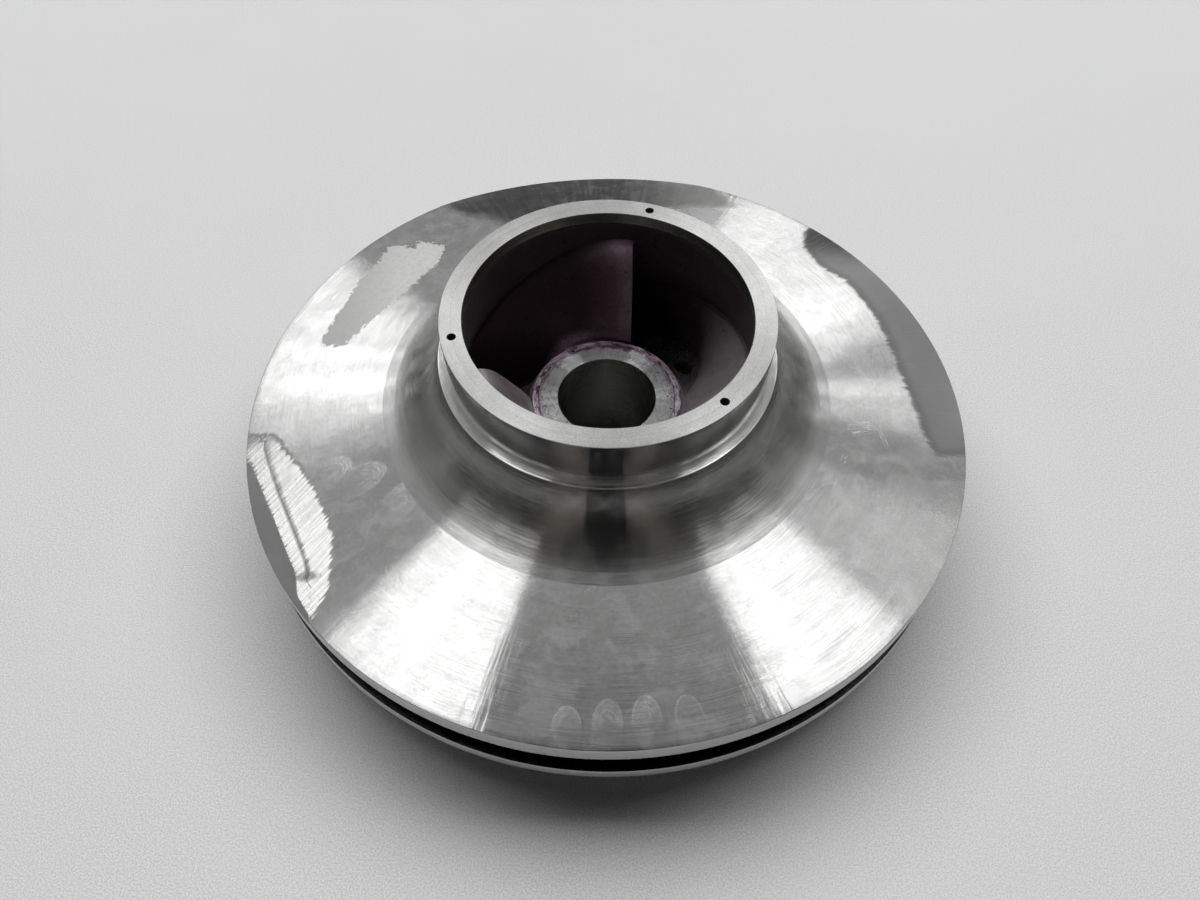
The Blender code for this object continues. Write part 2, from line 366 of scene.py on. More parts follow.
def turned_steel(name, colour, roughness, scatter=0.6, flanks=0.0, spread=1.0, haze=0.04, feed=0.014,
                 metal=1.0, stain=1.0, grain=0.0):
    """A turned surface: its colour, its gloss along the grooves and how far it scatters across.

    scatter is the usual lean of a groove, flanks adds a few that lean much more, and feed leans
    broad bands. haze adds to the roughness in clouds, stain is the share of darker clouds and
    grain that of fine darker marks."""
    tree, shader = new_finish(name)
    grooves = ring_marks(tree, 6.0, 60000.0, 0.0)
    bands = ring_marks(tree, 1.2, 900.0, 3.0, 0.6)
    waves = ring_marks(tree, 28.0, 20.0)
    cloud = speckle(tree, place(tree), 24.0, 4.0, 0.6)
    smudge = speckle(tree, place(tree), 75.0, 3.0, 0.65, 0.6)
    across = plus(tree, swing(tree, grooves, scatter), swing(tree, bands, feed))
    steep = sums(tree, "POWER", sums(tree, "ABSOLUTE", minus(tree, grooves, 0.5)), 2.0)
    across = plus(tree, across, times(tree, steep, swing(tree, grooves, flanks)))
    rough = ramp(tree, cloud, 0.4, 0.75, roughness, roughness + haze)
    rough = plus(tree, rough, ramp(tree, smudge, 0.5, 0.8, 0.0, haze))
    tint = toned(tree, colour, shade_of(colour, 0.86), cloud, 0.38, 0.68, stain)
    tint = toned(tree, tint, shade_of(colour, 0.78), smudge, 0.45, 0.75, 0.5 * stain)
    if grain:
        marks = ring_marks(tree, 90.0, 1600.0, 4.0, 0.7)
        tint = toned(tree, tint, shade_of(colour, 0.62), marks, 0.38, 0.66, grain)
        worn = speckle(tree, place(tree), 110.0, 4.0, 0.65)
        tint = toned(tree, tint, shade_of(colour, 0.72), worn, 0.42, 0.62, 0.6 * grain)
    normal = leaned(tree, swing(tree, waves, RIPPLE), across)
    connect(tree, shader, {"Normal": normal, "Roughness": rough, "Base Color": tint, "Metallic": metal,
                           "Anisotropic": spread, "Anisotropic Rotation": QUARTER_TURN,
                           "Tangent": radial_tangent(tree)})
    return tree, shader

# %% The turned finishes
TOE_STARTS, TOE_ENDS = 96.0, 105.5


def toe_steel():
    """The foot of the fillet, with painted shade: it starts as dark as the fillet and ends as bright as
    the cone.
    """
    tree, shader = turned_steel("toe", (0.70, 0.70, 0.695), 0.13, scatter=0.9, flanks=45.0, feed=0.02,
                                stain=0.3)
    r = axis_place(tree)[-1]
    out = plus(tree, r, swing(tree, ring_marks(tree, 2.0, 1100.0, 3.0, 0.6), 0.006))
    share = ramp(tree, out, TOE_STARTS * MM, TOE_ENDS * MM)
    colour = blended(tree, share, (0.40, 0.40, 0.39), so_far(shader, "Base Color"))
    connect(tree, shader, {"Base Color": colour})


toe_steel()
turned_steel("turned", (0.82, 0.82, 0.815), 0.13, scatter=0.9, flanks=45.0, feed=0.006, stain=0.5)
# Painted shade: the fillet, a hollow, is a darker grey than the turned cone.
turned_steel("fillet", (0.42, 0.42, 0.41), 0.10, scatter=1.1, feed=0.02)
# Painted shade: the eye ring's outer side is a darker grey than the same turned steel elsewhere.
turned_steel("ring_side_shaded", (0.50, 0.50, 0.495), 0.07, scatter=0.07, feed=0.02, haze=0.012, stain=0.5)
turned_steel("ledge", (0.95, 0.95, 0.94), 0.06, scatter=0.4, flanks=12.0, haze=0.01, stain=0.4)
turned_steel("turned_bright", (0.66, 0.66, 0.655), 0.15, scatter=0.5)
turned_steel("faced", (0.98, 0.98, 0.97), 0.34, scatter=1.5, spread=0.8, metal=0.85, stain=0.6, grain=0.55)
turned_steel("bored", (0.30, 0.31, 0.275), 0.25)
turned_steel("rim_edge", (0.68, 0.68, 0.68), 0.34, spread=0.6)

# %% [markdown]
# ## As-cast steel
#
# Inside the passages nothing was machined. The skin is dull and slightly sandy, and it still
# carries the purple dye of a crack test, which stayed in the corners and on the rough faces. A
# fine and a coarse noise raise the skin, and a third one says where the dye stayed.

# %% As-cast steel
SAND_HEIGHT, LUMP_HEIGHT = 0.00008, 0.00035


def foot_highlight(tree, x, z, r, sand):
    """A painted highlight, in a paler dye tone, on the foot of the first vane beside the nose."""
    low = times(tree, ramp(tree, z, 0.068, 0.060), ramp(tree, x, 0.004, -0.012))
    low = times(tree, times(tree, low, ramp(tree, r, 0.045, 0.040)), ramp(tree, sand, 0.30, 0.60, 0.3, 1.0))
    return times(tree, low, 0.8)


def cast_steel(name, colour, dye, dye_share, roughness=0.62, metal=0.65, inward_shade=0.0):
    """Cast skin, with painted shade: nearly black beyond the eye, where no light and no dye came,
    and darker the further a vane turns in from its leading edge.
    """
    tree, shader = new_finish(name)
    where = place(tree)
    x, _, z, _, r = axis_place(tree)
    sand = speckle(tree, where, 900.0, 3.0, 0.6)
    lumps = speckle(tree, where, 120.0, 3.0)
    stain = speckle(tree, where, 34.0, 4.0, 0.6)
    pits = speckle(tree, where, 520.0, 1.0, 0.4)
    shift = 0.5 * dye_share
    tint = toned(tree, colour, dye, stain, 0.62 - shift, 0.78 - shift)
    tint = toned(tree, tint, shade_of(colour, 1.7), sand, 0.55, 0.7, 0.35)
    tint = toned(tree, tint, (0.01, 0.008, 0.01), pits, 0.72, 0.76, 0.8)
    if inward_shade:
        # Painted shade: a vane grows darker the further it turns in from its leading edge.
        tint = toned(tree, tint, (0.02, 0.01, 0.013), painted(tree, "inward"), 0.0, 34.0, inward_shade)
        # Painted highlight: a pale pink patch where the first vane's foot catches the light.
        tint = blended(tree, foot_highlight(tree, x, z, r, sand), tint, (0.55, 0.36, 0.45))
    # Painted shade: nearly black further out than the eye, deep in the passages.
    tint = toned(tree, tint, (0.03, 0.027, 0.028), r, 0.060, 0.092)
    rough = ramp(tree, sand, 0.3, 0.7, roughness - 0.08, roughness + 0.1)
    normal = bumped(tree, sand, SAND_HEIGHT, bumped(tree, lumps, LUMP_HEIGHT))
    connect(tree, shader, {"Base Color": tint, "Roughness": rough, "Normal": normal, "Metallic": metal})


# Painted shade: the cast skin in the passages, on the eye wall and in the hollows is given a near-black
# colour, as little light reaches there.
cast_steel("cast_shaded", (0.09, 0.085, 0.087), (0.09, 0.065, 0.075), 0.4)
cast_steel("cast_dyed", (0.48, 0.43, 0.45), (0.46, 0.31, 0.39), 0.45, roughness=0.3, metal=0.8)
cast_steel("cast_vane", (0.24, 0.19, 0.22), (0.20, 0.12, 0.155), 0.5, roughness=0.5, inward_shade=0.85)
cast_steel("cast_grey", (0.32, 0.30, 0.305), (0.27, 0.20, 0.225), 0.2, roughness=0.4)

# %% [markdown]
# ## Where the cone was ground and handled
#
# The turned cone isn't even all over. Metal was ground away at the rim to balance the impeller:
# a flat on the far side, a long grey crescent on the right, and on the left a bright place with
# chatter ridges, a crease along it and a duller strip at the rim. There are also a dull grey
# patch, finger prints, two pale smears where it was wiped, a dark smudge and short scratches.
# Each place is an outline on the cone, in plan, in mm. The mesh carries the distance to each
# outline, over 0 inside, and the finish turns it into an edge, hard or frayed. An image would be
# the usual way; distances stay sharp at any size and need no picture.

# %% Outlines in plan
FAR_FLAT = [(-93.9, 139.3), (-84.3, 133.1), (-73.6, 131.1), (-63.1, 124.0), (-28.0, 127.0), (20.0, 134.0),
            (70.5, 147.2), (63.3, 161.8), (72.0, 190.0), (0.0, 205.0), (-112.0, 172.0)]
RIGHT_CRESCENT = [(114.2, 131.5), (110.6, 121.9), (109.5, 111.1), (114.0, 100.0), (119.1, 92.0),
                  (128.9, 86.1), (133.2, 77.6), (137.7, 67.9), (141.8, 56.1), (144.2, 44.5),
                  (146.1, 31.2), (148.1, 18.5), (149.9, 5.1), (152.0, -6.6), (153.2, -19.6),
                  (157.1, -31.3), (171.5, -29.2), (200.0, -20.0), (205.0, 60.0), (150.0, 160.0)]
LEFT_EDGE = [(-168.5, -40.9), (-158.4, -58.1), (-148.7, -74.9), (-138.4, -93.6), (-134.6, -99.5),
             (-131.7, -110.7), (-123.6, -121.2), (-150.0, -150.0), (-195.0, -60.0)]
LEFT_LENS = [(-176.0, -24.0), (-159.4, -25.9), (-146.9, -41.6), (-136.7, -53.7), (-130.7, -62.6),
             (-121.1, -80.5), (-120.0, -90.6), (-118.5, -105.6), (-123.5, -121.8), (-131.7, -110.7),
             (-134.6, -99.5), (-138.4, -93.6), (-148.7, -74.9), (-158.4, -58.1), (-168.5, -40.9),
             (-182.0, -36.0)]
CREASE = [(-163.0, -33.0), (-159.6, -41.0), (-149.8, -60.6), (-140.2, -78.0), (-131.2, -94.6),
          (-129.6, -99.6)]
CREASE_END = [(-135.5, -102.6), (-129.0, -99.6), (-123.0, -101.6), (-129.0, -103.8)]
DULL_PATCH = [(-147.8, 30.9), (-144.5, 46.6), (-139.4, 62.1), (-134.9, 79.5), (-127.8, 93.2),
              (-123.4, 107.2), (-114.6, 106.1), (-108.9, 102.5), (-107.1, 109.8), (-90.9, 103.1),
              (-92.8, 88.7), (-99.8, 79.0), (-107.1, 65.7), (-112.5, 58.4), (-123.2, 45.2), (-129.4, 34.9),
              (-135.3, 27.2)]
SMEAR = [(80.3, -69.1), (94.3, -66.2), (104.1, -57.0), (115.7, -57.7), (127.8, -52.6), (132.1, -45.6),
         (141.2, -43.4), (152.9, -46.2), (176.0, -41.3), (162.0, -90.0), (138.0, -118.0), (104.2, -81.3)]
WIPE = [(113.9, -33.8), (130.5, -33.7), (146.2, -31.0), (176.0, -29.3), (161.4, -34.3), (126.9, -39.6),
        (114.8, -39.6)]
SMUDGE = [(108.5, 13.8), (117.3, 25.5), (135.2, 39.3), (142.9, 37.1), (138.3, 25.8), (120.9, 14.6)]
# Centre, half width, half length, turn and fill of each print; the tip is crisp, the foot fades.
FINGER_MARKS = [(-13.4, -166.0, 6.2, 8.5, 0.0, 0.5), (2.9, -164.4, 6.4, 10.0, 0.0, 0.6),
                (18.6, -163.0, 6.4, 10.5, 6.0, 0.5), (35.6, -161.2, 6.0, 9.5, 12.0, 0.3),
                (-127.0, -50.5, 8.2, 11.5, -52.0, 1.0), (-112.6, -55.4, 8.2, 14.0, -60.0, 0.8),
                (-92.4, -68.4, 8.0, 14.0, -38.0, 1.0)]
# Short bright scratches: centre, half length, half width and direction of each group.
SCUFFS = [(-89.8, -103.2, 8.0, 4.0, 120.0), (-121.0, -22.0, 6.0, 5.0, 100.0), (94.0, -58.5, 4.5, 3.0, 40.0),
          (111.0, -39.0, 4.0, 2.5, 60.0), (122.0, -20.0, 9.0, 5.0, 15.0), (-5.2, -108.4, 5.0, 3.0, 25.0),
          (132.0, -24.0, 8.0, 2.0, 100.0)]


def to_stretch(start, end, x, y):
    """Distance in mm from each point to a straight stretch between two corners."""
    (x0, y0), (x1, y1) = start, end
    ex, ey = x1 - x0, y1 - y0
    share = np.clip(((x - x0) * ex + (y - y0) * ey) / (ex * ex + ey * ey), 0.0, 1.0)
    return np.hypot(x - x0 - share * ex, y - y0 - share * ey)


def depth_inside(outline, x, y):
    """Distance in mm from each point to the outline, over 0 inside it."""
    corners = np.array(outline)
    nearest = np.full(x.shape, np.inf)
    inside = np.zeros(x.shape, bool)
    for (x0, y0), (x1, y1) in zip(corners, np.roll(corners, -1, axis=0)):
        nearest = np.minimum(nearest, to_stretch((x0, y0), (x1, y1), x, y))
        crosses = (y0 > y) != (y1 > y)
        side = np.divide((y - y0) * (x1 - x0), y1 - y0, out=np.zeros_like(y), where=y1 != y0) + x0
        inside ^= crosses & (x < side)
    return np.where(inside, nearest, -nearest)


def beside_line(line, x, y):
    """Distance in mm from an open line, over 0 on the side nearer to the axis."""
    nearest, side = np.full(x.shape, np.inf), np.zeros(x.shape)
    for (x0, y0), (x1, y1) in zip(line, line[1:]):
        ex, ey = x1 - x0, y1 - y0
        distance = to_stretch((x0, y0), (x1, y1), x, y)
        turn = np.sign(ex * (y - y0) - ey * (x - x0)) * np.sign(ex * (-y0) - ey * (-x0))
        side = np.where(distance < nearest, turn, side)
        nearest = np.minimum(nearest, distance)
    return nearest * side


def finger_shape(x, y):
    """1 at the middle of a print and 0 at its edge, how far along it lies, -1 to 1, and its fill."""
    depth, along, filled = np.full(x.shape, -1.0), np.zeros(x.shape), np.zeros(x.shape)
    for cx, cy, wide, long, turn, fill in FINGER_MARKS:
        a = math.radians(turn)
        u = ((x - cx) * math.cos(a) + (y - cy) * math.sin(a)) / wide
        v = (-(x - cx) * math.sin(a) + (y - cy) * math.cos(a)) / long
        here = 1.0 - u * u - v * v
        along = np.where(here > depth, v, along)
        filled = np.where(here > depth, fill, filled)
        depth = np.maximum(depth, here)
    return {"finger": depth, "finger_along": along, "finger_fill": filled}

# %% [markdown]
# ## The finish of the cone
#
# It starts as the turned finish and then takes the marks in. Ground places are rougher, so they
# average what stands round them and look an even grey; the crescent, the far flat and the strip
# at the left rim are also painted a darker grey as shade, and a dark line of painted shade follows
# the crease. On the left the grinder went over the rim in short strokes. They are too fine to
# build as faces, so they lean the normal: each point carries how far it must lean round the axis
# to face the same way as its neighbours, which is what a ground flat does, and the strokes swing
# to both sides of that; they are also painted as lighter and darker stripes. Grease and dust are
# not metal, so prints, smears and scratches also take some of the Metallic value away: that part
# of the light is then scattered, and it shows where the mirrored room is dark.

# %% Edges, prints and scratches


def edge_of(tree, name, fray, softness, wobble):
    """A share from 0 to 1 that crosses over at the outline, frayed by some mm along a noise."""
    return ramp(tree, plus(tree, painted(tree, name), swing(tree, fray, wobble)), -softness, softness)


def laid_out(tree, x, y, degrees, long, wide, high):
    """Coordinates from a point in plan, turned, and counted in these lengths in metres."""
    inputs = {"Vector": place(tree), "Location": (x, y, 0.0), "Rotation": (0.0, 0.0, math.radians(degrees)),
              "Scale": (long, wide, high)}
    return add(tree, "ShaderNodeMapping", {"vector_type": "TEXTURE"}, inputs).outputs[0]


def straight_marks(tree, degrees, along, across, detail, distortion):
    """A noise for marks that run one way in plan: slow along them, fast across."""
    drawn = laid_out(tree, 0.0, 0.0, degrees, 1.0 / along, 1.0 / across, 1.0)
    return speckle(tree, drawn, 1.0, detail, 0.55, distortion)


def scuffed(tree):
    """A share from 0 to 1 that is over 0 on short scratches in a few small places."""
    found = 0.0
    for x, y, long, wide, degrees in SCUFFS:
        box = laid_out(tree, x * MM, y * MM, degrees, long * MM, wide * MM, 1000.0)
        reach = vectors(tree, "LENGTH", box)
        lines = speckle(tree, vectors(tree, "MULTIPLY", box, (0.55, 9.0, 0.0)), 1.6, 2.0, 0.6)
        lines = times(tree, ramp(tree, lines, 0.55, 0.61), ramp(tree, reach, 1.0, 0.5))
        found = sums(tree, "MAXIMUM", lines, found)
    return found


def finger_prints(tree, jags):
    """How much a print lightens the metal: a crisp upper end, ridges inside and no lower end."""
    depth, along, fill = (painted(tree, name) for name in ("finger", "finger_along", "finger_fill"))
    wave = sums(tree, "SINE", times(tree, depth, 30.0))
    ridged = plus(tree, 0.75, times(tree, wave, 0.25))
    border = times(tree, ramp(tree, depth, 0.0, 0.06), ramp(tree, depth, 0.30, 0.06, 0.0, 0.6))
    border = times(tree, border, minus(tree, 1.2, fill))
    inside = times(tree, ramp(tree, depth, 0.0, 0.16), times(tree, ridged, fill))
    inside = times(tree, plus(tree, inside, border), ramp(tree, along, -0.6, 0.6, 0.05, 1.0))
    return times(tree, inside, ramp(tree, jags, 0.35, 0.6, 0.45, 1.0))

# %% Where each mark lies on the cone
# The noise that frays the outline, half the width of its edge and how far it frays in mm, how
# strong the mark is, and the roughness that it brings.
CONE_MARKS = {
    "right_crescent": ("hair", 2.0, 7.0, 1.0, 0.6),
    "far_flat": ("blots", 5.0, 16.0, 1.0, 0.58),
    "dull_patch": ("jags", 0.12, 12.0, 1.0, 0.7),
    "left_lens": ("ridges", 1.8, 6.0, 1.0, 0.2),
    "left_edge": ("ridges", 0.3, 1.6, 1.0, 0.62),
    "crease_end": ("hair", 1.8, 1.0, 0.6, 0.7),
    "smear": ("blots", 1.2, 9.0, 0.3, 0.3),
    "wipe": ("streaks", 1.0, 3.0, 0.2, 0.3),
    "smudge": ("clouds", 6.0, 10.0, 0.22, 0.5),
}
# What is no longer bare metal: the share of each mark that only scatters.
DULLED = {"print": 0.30, "scuff": 0.55, "smear": 0.16, "wipe": 0.16, "film": 0.05}
SCUFF_ROUGHNESS, PRINT_ROUGHENS = 0.6, 0.08


def cone_noises(tree):
    """The noises that fray the marks and cloud them; some serve several marks."""
    where = place(tree)
    return {
        "hair": ring_marks(tree, 130.0, 40.0, 2.0, 0.6),
        "streaks": ring_marks(tree, 50.0, 22.0, 3.0, 0.6),
        "blots": speckle(tree, where, 60.0, 3.0, 0.6),
        "jags": speckle(tree, where, 420.0, 3.0, 0.7),
        "clouds": speckle(tree, where, 38.0, 4.0, 0.6, 0.8),
        "ridges": straight_marks(tree, 52.0, 55.0, 900.0, 2.0, 0.3),
        "wiped": straight_marks(tree, 38.0, 16.0, 70.0, 3.0, 0.6),
        "fine": speckle(tree, where, 650.0, 4.0, 0.7),
        "misty": speckle(tree, where, 95.0, 5.0, 0.65, 0.5),
    }


def cone_shares(tree, noises, facing):
    """How much of each mark a point takes, from 0 to 1."""
    at = {}
    for name, (fray, softness, wobble, strength, _) in CONE_MARKS.items():
        at[name] = edge_of(tree, name, noises[fray], softness, wobble)
        if strength < 1.0:
            at[name] = times(tree, at[name], strength)
    at["left_lens"] = times(tree, at["left_lens"], ramp(tree, facing, 0.30, 0.25))
    at["film"] = ramp(tree, noises["misty"], 0.46, 0.62)
    at["print"] = finger_prints(tree, noises["jags"])
    at["scuff"] = scuffed(tree)
    return at

# %% Tones of the ground places


def flat_tone(tree, noises, side):
    """The far flat: blotched, painted darker on the left as shade and lighter on the right as painted
    reflected light.
    """
    colour = toned(tree, grey(0.50), grey(0.27), noises["misty"], 0.40, 0.62)
    colour = toned(tree, colour, grey(0.19), noises["streaks"], 0.42, 0.58, 0.5)
    # Painted shade on the left and painted reflected light on the right, by the side of the axis.
    colour = toned(tree, colour, grey(0.17), side, -0.02, -0.05, 0.5)
    return toned(tree, colour, (0.78, 0.78, 0.77), side, 0.0, 0.055, 0.65)


def patch_tone(tree, noises, side):
    """The dull patch: dusty, and paler towards the ring."""
    colour = toned(tree, (0.55, 0.55, 0.54), (0.72, 0.72, 0.71), side, -0.142, -0.105)
    return toned(tree, colour, (0.48, 0.48, 0.47), noises["jags"], 0.4, 0.7, 0.35)


def crescent_tone(tree, noises, away):
    """The crescent, painted a darker grey as shade: darker still at its far end and just inside its
    outline, with pale hairs round the axis.
    """
    colour = toned(tree, grey(0.54), grey(0.17), away, 0.094, 0.122)
    colour = toned(tree, colour, (0.62, 0.62, 0.61), noises["hair"], 0.5, 0.75, 0.4)
    # Painted shade just inside the crescent's outline.
    edge_shade = minus(tree, 1.0, ramp(tree, painted(tree, "right_crescent"), 0.0, 7.0))
    return blended(tree, times(tree, edge_shade, 0.45), colour, grey(0.22))


def cone_tone(tree, colour, noises, at, crease):
    """The colour of the turned cone with every mark laid over it, in this order."""
    side, away = axis_place(tree)[:2]
    colour = toned(tree, colour, grey(0.55), noises["wiped"], 0.45, 0.70, 0.3)
    colour = toned(tree, colour, grey(0.40), noises["fine"], 0.40, 0.66, 0.16)
    # The filed place is painted in lighter and darker stripes along its chatter ridges, as painted
    # highlights and shade on their flanks.
    filed = toned(tree, (0.64, 0.64, 0.63), (0.82, 0.82, 0.81), noises["ridges"], 0.36, 0.64)
    # Painted shade: a dark line along the crease of the filed place.
    line = ramp(tree, sums(tree, "ABSOLUTE", crease), 1.1, 0.1)
    layers = (
        (times(tree, at["film"], 0.4), grey(0.90)),
        (at["smear"], (0.9, 0.9, 0.89)),
        (at["wipe"], (0.9, 0.9, 0.89)),
        (at["smudge"], grey(0.3)),
        (at["right_crescent"], crescent_tone(tree, noises, away)),
        (at["far_flat"], flat_tone(tree, noises, side)),
        (at["dull_patch"], patch_tone(tree, noises, side)),
        (at["left_lens"], filed),
        # Painted shade: the strip at the left rim is a darker grey.
        (at["left_edge"], grey(0.5)),
        (at["crease_end"], grey(0.12)),
        (times(tree, line, times(tree, at["left_lens"], 0.6)), grey(0.15)),
        (times(tree, at["print"], 0.45), grey(0.95)),
        (times(tree, at["scuff"], 0.6), grey(0.95)),
    )
    for share, tint in layers:
        colour = blended(tree, share, colour, tint)
    return colour

# %% Cone finish


def cone_lean(tree, noises, at, facing, crease, before):
    """The normal: the filed place faces one way, with a fold at its crease; the rest frays."""
    away = axis_place(tree)[1]
    fold = times(tree, ramp(tree, crease, -0.3, 0.5), ramp(tree, crease, 3.8, 0.6))
    steep = plus(tree, facing, swing(tree, noises["ridges"], 0.115))
    steep = minus(tree, steep, times(tree, fold, 0.085))
    filed = times(tree, at["left_lens"], minus(tree, 1.0, at["left_edge"]))
    ends = ramp(tree, sums(tree, "ABSOLUTE", away), 0.10, 0.17)
    frayed = times(tree, swing(tree, noises["hair"], 0.07), ends)
    return leaned(tree, plus(tree, times(tree, steep, filed), frayed), 0.0, before)


def cone_steel():
    tree, shader = turned_steel("shroud", (0.73, 0.73, 0.725), 0.13, feed=0.005, haze=0.012, stain=0.12)
    facing, crease = painted(tree, "left_turn"), painted(tree, "crease")
    noises = cone_noises(tree)
    at = cone_shares(tree, noises, facing)
    rough = so_far(shader, "Roughness")
    for name, mark in CONE_MARKS.items():
        rough = mixed(tree, at[name], rough, mark[-1])
    rough = mixed(tree, at["scuff"], rough, SCUFF_ROUGHNESS)
    rough = plus(tree, rough, times(tree, at["print"], PRINT_ROUGHENS))
    metal = minus(tree, 1.0, times(tree, at["dull_patch"], 0.5))
    for name, amount in DULLED.items():
        metal = minus(tree, metal, times(tree, at[name], amount))
    colour = cone_tone(tree, so_far(shader, "Base Color"), noises, at, crease)
    normal = cone_lean(tree, noises, at, facing, crease, so_far(shader, "Normal"))
    connect(tree, shader, {"Roughness": rough, "Base Color": colour, "Metallic": metal, "Normal": normal})


cone_steel()

# %% [markdown]
# ## The front shroud and its neck
#
# This is what the picture shows most: a turned cone that climbs from the rim at ten degrees,
# a large fillet, a small shoulder under the wear ring, and the neck that the ring sits on. The
# inside is as cast, up to a short bored band at the mouth. One outline holds all of it. The cone
# is split into short stretches, because the ground places on it are pushed in afterwards.

# %% Front shroud outline
RIM_R, FRONT_INNER_Z, BACK_INNER_Z, BACK_FACE_Z = 175.0, 47.0, 31.4, 24.6
EYE_R, JOINT_R, RING_R = 65.0, 70.0, 75.0
EYE_FACE_Z, BORED_Z = 121.3, 115.4
LEDGE_R, LEDGE_Z, COLLAR_R, COLLAR_Z = 78.5, 97.0, 73.4, 100.0
OUTER_FILLET, INNER_FILLET = 28.0, 41.5
JOINT_GAP = 0.01

# A steeper land lies between the fillet's foot and the cone; the pull bends the curve between.
LAND_R, LAND_SLOPE, TOE_R, TOE_SLOPE, FILLET_PULL = 108.5, 13.0, 102.8, 20.0, 0.68
FILLET_TO = 97.0
FRONT_CENTRE = (LEDGE_R + OUTER_FILLET, LEDGE_Z)
OUTER_SLOPE = tangent_slope(FRONT_CENTRE, OUTER_FILLET, (RIM_R, FRONT_RIM_Z))
INNER_CENTRE = (EYE_R + INNER_FILLET, LEDGE_Z)
INNER_SLOPE = tangent_slope(INNER_CENTRE, INNER_FILLET, (RIM_R, FRONT_INNER_Z))


def fillet_curve(count):
    """The hollow between the ledge and the cone: a Bezier curve, upright at the ledge."""
    land_z = FRONT_RIM_Z + (RIM_R - LAND_R) * math.tan(math.radians(OUTER_SLOPE))
    toe = Vector((TOE_R, land_z + (LAND_R - TOE_R) * math.tan(math.radians(LAND_SLOPE))))
    corner = Vector((LEDGE_R, toe.y + (TOE_R - LEDGE_R) * math.tan(math.radians(TOE_SLOPE))))
    top = Vector((LEDGE_R, LEDGE_Z))
    high, low = top.lerp(corner, FILLET_PULL), toe.lerp(corner, FILLET_PULL)
    found = []
    for i in range(count + 1):
        t = i / count
        point = top * (1 - t) ** 3 + high * 3 * t * (1 - t) ** 2 + low * 3 * t * t * (1 - t) + toe * t ** 3
        found.append((point.x, point.y))
    return found, (LAND_R, land_z)


def front_shroud_outline():
    neck_r = JOINT_R - JOINT_GAP
    corners = [
        (EYE_R, EYE_FACE_Z, 0.35, "faced"),
        (neck_r, EYE_FACE_Z, 0.04, "turned"),
        (neck_r, COLLAR_Z, 0.0, "turned"),
        (COLLAR_R, COLLAR_Z, 0.3, "turned"),
        (COLLAR_R, LEDGE_Z, 0.0, "ledge"),
        (LEDGE_R, LEDGE_Z, 0.5, "fillet"),
    ]
    fillet, land = fillet_curve(36)
    corners += [(r, z, 0.0, "fillet" if r < FILLET_TO else "toe") for r, z in fillet[1:-1]]
    corners += [
        (*fillet[-1], 0.15, "toe"),
        (*land, 0.15, "shroud"),
        (RIM_R, FRONT_RIM_Z, 0.45, "rim_edge"),
        (RIM_R, FRONT_INNER_Z, 0.5, "cast_shaded"),
    ]
    inside = arc(INNER_CENTRE, INNER_FILLET, 270.0 - INNER_SLOPE, 180.0, 30)
    corners += [(r, z, 0.0, "cast_shaded") for r, z in inside]
    corners += [(EYE_R - 0.35, BORED_Z - 1.0, 0.0, "cast_shaded"), (EYE_R, BORED_Z, 0.0, "bored")]
    return split_long(broken_corners(corners), 2.6)


FRONT_FINISHES = ["faced", "turned", "ledge", "fillet", "toe", "shroud", "rim_edge", "cast_shaded", "bored"]
front_shroud = spun("front_shroud", front_shroud_outline(), FRONT_FINISHES)
print(f"cone slope {OUTER_SLOPE:.2f} degrees")

# %% [markdown]
# ## Pushing the ground places in
#
# The far flat is up to 3 mm deep at the rim and straight along its inner edge, as the packed
# solid has it. The left place is under a millimetre deep. Both only lower points of the outside.

# %% Grind the cone
CUT_ANGLE, CUT_CHORD, CUT_DEPTH = 98.0, 157.5, 3.0
LEFT_DEPTH_SLOPE, LEFT_DEEPEST = 0.045, 20.0
GROUND_FROM_R, SKIN_BOTTOM, SKIN = 120.0, 50.0, 8.0
LEFT_FACES, LEFT_LEAN = 243.5, 0.286


def read_points(mesh):
    flat = np.empty(len(mesh.vertices) * 3, np.float64)
    mesh.vertices.foreach_get("co", flat)
    return flat.reshape(-1, 3) / MM


def paint(mesh, name, values):
    """Gives each point of the mesh a value that a finish can read."""
    layer = mesh.attributes.new(name, "FLOAT", "POINT")
    layer.data.foreach_set("value", values.astype(np.float32))


def grind(mesh):
    points = read_points(mesh)
    x, y, z = points.T
    r = np.hypot(x, y)
    a = math.radians(CUT_ANGLE)
    past = np.clip(x * math.cos(a) + y * math.sin(a) - CUT_CHORD, 0.0, None)
    drop = past * CUT_DEPTH / (RIM_R - CUT_CHORD)
    drop += np.clip(depth_inside(LEFT_EDGE, x, y), 0.0, LEFT_DEEPEST) * LEFT_DEPTH_SLOPE
    top = FRONT_RIM_Z + (RIM_R - r) * math.tan(math.radians(OUTER_SLOPE))
    outside = (r > GROUND_FROM_R) & (z > SKIN_BOTTOM) & (z > top - SKIN)
    share = np.clip((z - SKIN_BOTTOM) / np.maximum(top - SKIN_BOTTOM, 1.0), 0.0, 1.0)
    points[:, 2] = np.where(outside, z - drop * share, z)
    mesh.vertices.foreach_set("co", (points * MM).ravel())
    mesh.update()
    print(f"deepest grinding {drop[outside].max():.2f} mm")


